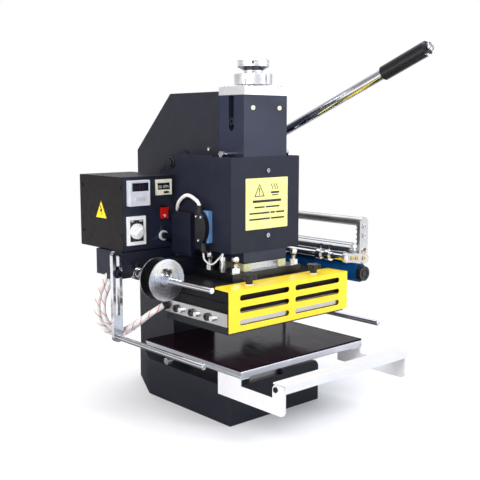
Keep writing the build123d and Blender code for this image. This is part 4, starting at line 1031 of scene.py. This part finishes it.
def studio_world():
    """Even white for the camera; for light and reflections a room with bright and dark walls."""
    world = bpy.data.worlds.new("studio")
    world.use_nodes = True
    nodes, links = world.node_tree.nodes, world.node_tree.links

    def number(operation, *values):
        made = nodes.new("ShaderNodeMath")
        made.operation = operation
        for index, value in enumerate(values):
            if isinstance(value, bpy.types.NodeSocket):
                links.new(value, made.inputs[index])
            else:
                made.inputs[index].default_value = value
        return made.outputs[0]

    coords = nodes.new("ShaderNodeTexCoord")
    split = nodes.new("ShaderNodeSeparateXYZ")
    links.new(coords.outputs["Generated"], split.inputs[0])
    ramp = nodes.new("ShaderNodeValToRGB")
    ramp.color_ramp.interpolation = "EASE"
    floor_stops = ((0.0, 0.1), (0.49, 0.1))
    wall_stops = ((0.52, 0.75), (0.62, 0.85), (0.68, 0.4), (0.76, 0.45))
    ceiling_stops = ((0.84, 1.1), (1.0, 1.1))
    stops = floor_stops + wall_stops + ceiling_stops
    while len(ramp.color_ramp.elements) < len(stops):
        ramp.color_ramp.elements.new(0.5)
    for element, (place, value) in zip(ramp.color_ramp.elements, stops):
        element.position = place
        element.color = (value, value, value * 1.04, 1)
    links.new(number("MULTIPLY_ADD", split.outputs[2], 0.5, 0.5), ramp.inputs[0])
    turn = number("ARCTAN2", split.outputs[1], split.outputs[0])
    walls = number("SINE", number("MULTIPLY_ADD", turn, 3.0, 4.1))
    room = nodes["Background"]
    links.new(ramp.outputs[0], room.inputs["Color"])
    links.new(number("MULTIPLY_ADD", walls, 0.45, 0.95), room.inputs["Strength"])
    white = nodes.new("ShaderNodeBackground")
    white.inputs["Color"].default_value = (1, 1, 1, 1)
    path = nodes.new("ShaderNodeLightPath")
    choose = nodes.new("ShaderNodeMixShader")
    links.new(path.outputs["Is Camera Ray"], choose.inputs[0])
    links.new(room.outputs[0], choose.inputs[1])
    links.new(white.outputs[0], choose.inputs[2])
    links.new(choose.outputs[0], nodes["World Output"].inputs["Surface"])
    return world


def floor_material():
    """Pale matt floor that fades to the white of the room away from the machine."""
    surface = Surface("floor", (0.92, 0.92, 0.92), 0.7)
    rays = surface.node("ShaderNodeLightPath", {}).outputs
    surface.bump(surface.noise(0.05), 0.0002, 0.1)
    position = surface.axes()
    squares = [surface.math("MULTIPLY", position[index], position[index]) for index in (0, 1)]
    radius = surface.math("SQRT", surface.math("ADD", *squares))
    near = surface.math("MULTIPLY", surface.spread(radius, 1, 0, 0.5, 1.3), rays["Is Glossy Ray"])
    surface.set("Base Color", surface.mix(near, (0.92, 0.92, 0.92, 1), (0.12, 0.12, 0.13, 1)))
    fade = surface.math("MULTIPLY", surface.spread(radius, 0, 1, 0.3, 1.0), rays["Is Camera Ray"])
    glow = surface.node("ShaderNodeEmission", {"Color": (1, 1, 1, 1), "Strength": 1.0})
    blend = surface.node("ShaderNodeMixShader", {0: fade, 1: surface.shader.outputs[0], 2: glow.outputs[0]})
    surface.tree.links.new(blend.outputs[0], surface.tree.nodes["Material Output"].inputs["Surface"])
    return surface.material


def studio():
    """White room with a pale floor, a large soft light on each side and one above."""
    scene = bpy.context.scene
    scene.view_settings.view_transform = "Standard"
    scene.world = studio_world()
    size = 8.0
    mesh = bpy.data.meshes.new("floor")
    corners = [(a, b, 0) for a, b in rectangle(-size, size, -size, size)]
    mesh.from_pydata(corners, [], [(0, 1, 2, 3)])
    mesh.materials.append(floor_material())
    floor = bpy.data.objects.new("floor", mesh)
    scene.collection.objects.link(floor)
    aim = (cad_bounds[0] + cad_bounds[1]) / 2
    for label, place, power, width, color in (
        ("left_light", (-2.2, -0.7, 1.5), 42, 1.4, (1.0, 0.98, 0.97)),
        ("right_light", (1.4, -2.3, 1.4), 36, 1.3, (0.78, 0.87, 1.0)),
        ("top_light", (0.2, 0.3, 2.4), 20, 1.4, (1.0, 1.0, 1.0)),
    ):
        lamp = bpy.data.lights.new(label, "AREA")
        lamp.energy = power
        lamp.size = width
        lamp.color = color
        lamp_object = bpy.data.objects.new(label, lamp)
        lamp_object.location = place
        lamp_object.rotation_euler = (aim - Vector(place)).to_track_quat("-Z", "Y").to_euler()
        scene.collection.objects.link(lamp_object)


def camera():
    """Long lens at the height of the head, turned to the machine's left front corner."""
    heading, down = radians(41.62), radians(8.045)
    data = bpy.data.cameras.new("camera")
    data.sensor_width = 36.0
    data.lens = 61.02
    data.clip_end = 50
    view = bpy.data.objects.new("camera", data)
    view.location = (-1.1264, -1.2281, 0.5864)
    forward = Vector((sin(heading) * cos(down), cos(heading) * cos(down), -sin(down)))
    view.rotation_euler = forward.to_track_quat("-Z", "Y").to_euler()
    bpy.context.scene.collection.objects.link(view)
    bpy.context.scene.camera = view


studio()
camera()
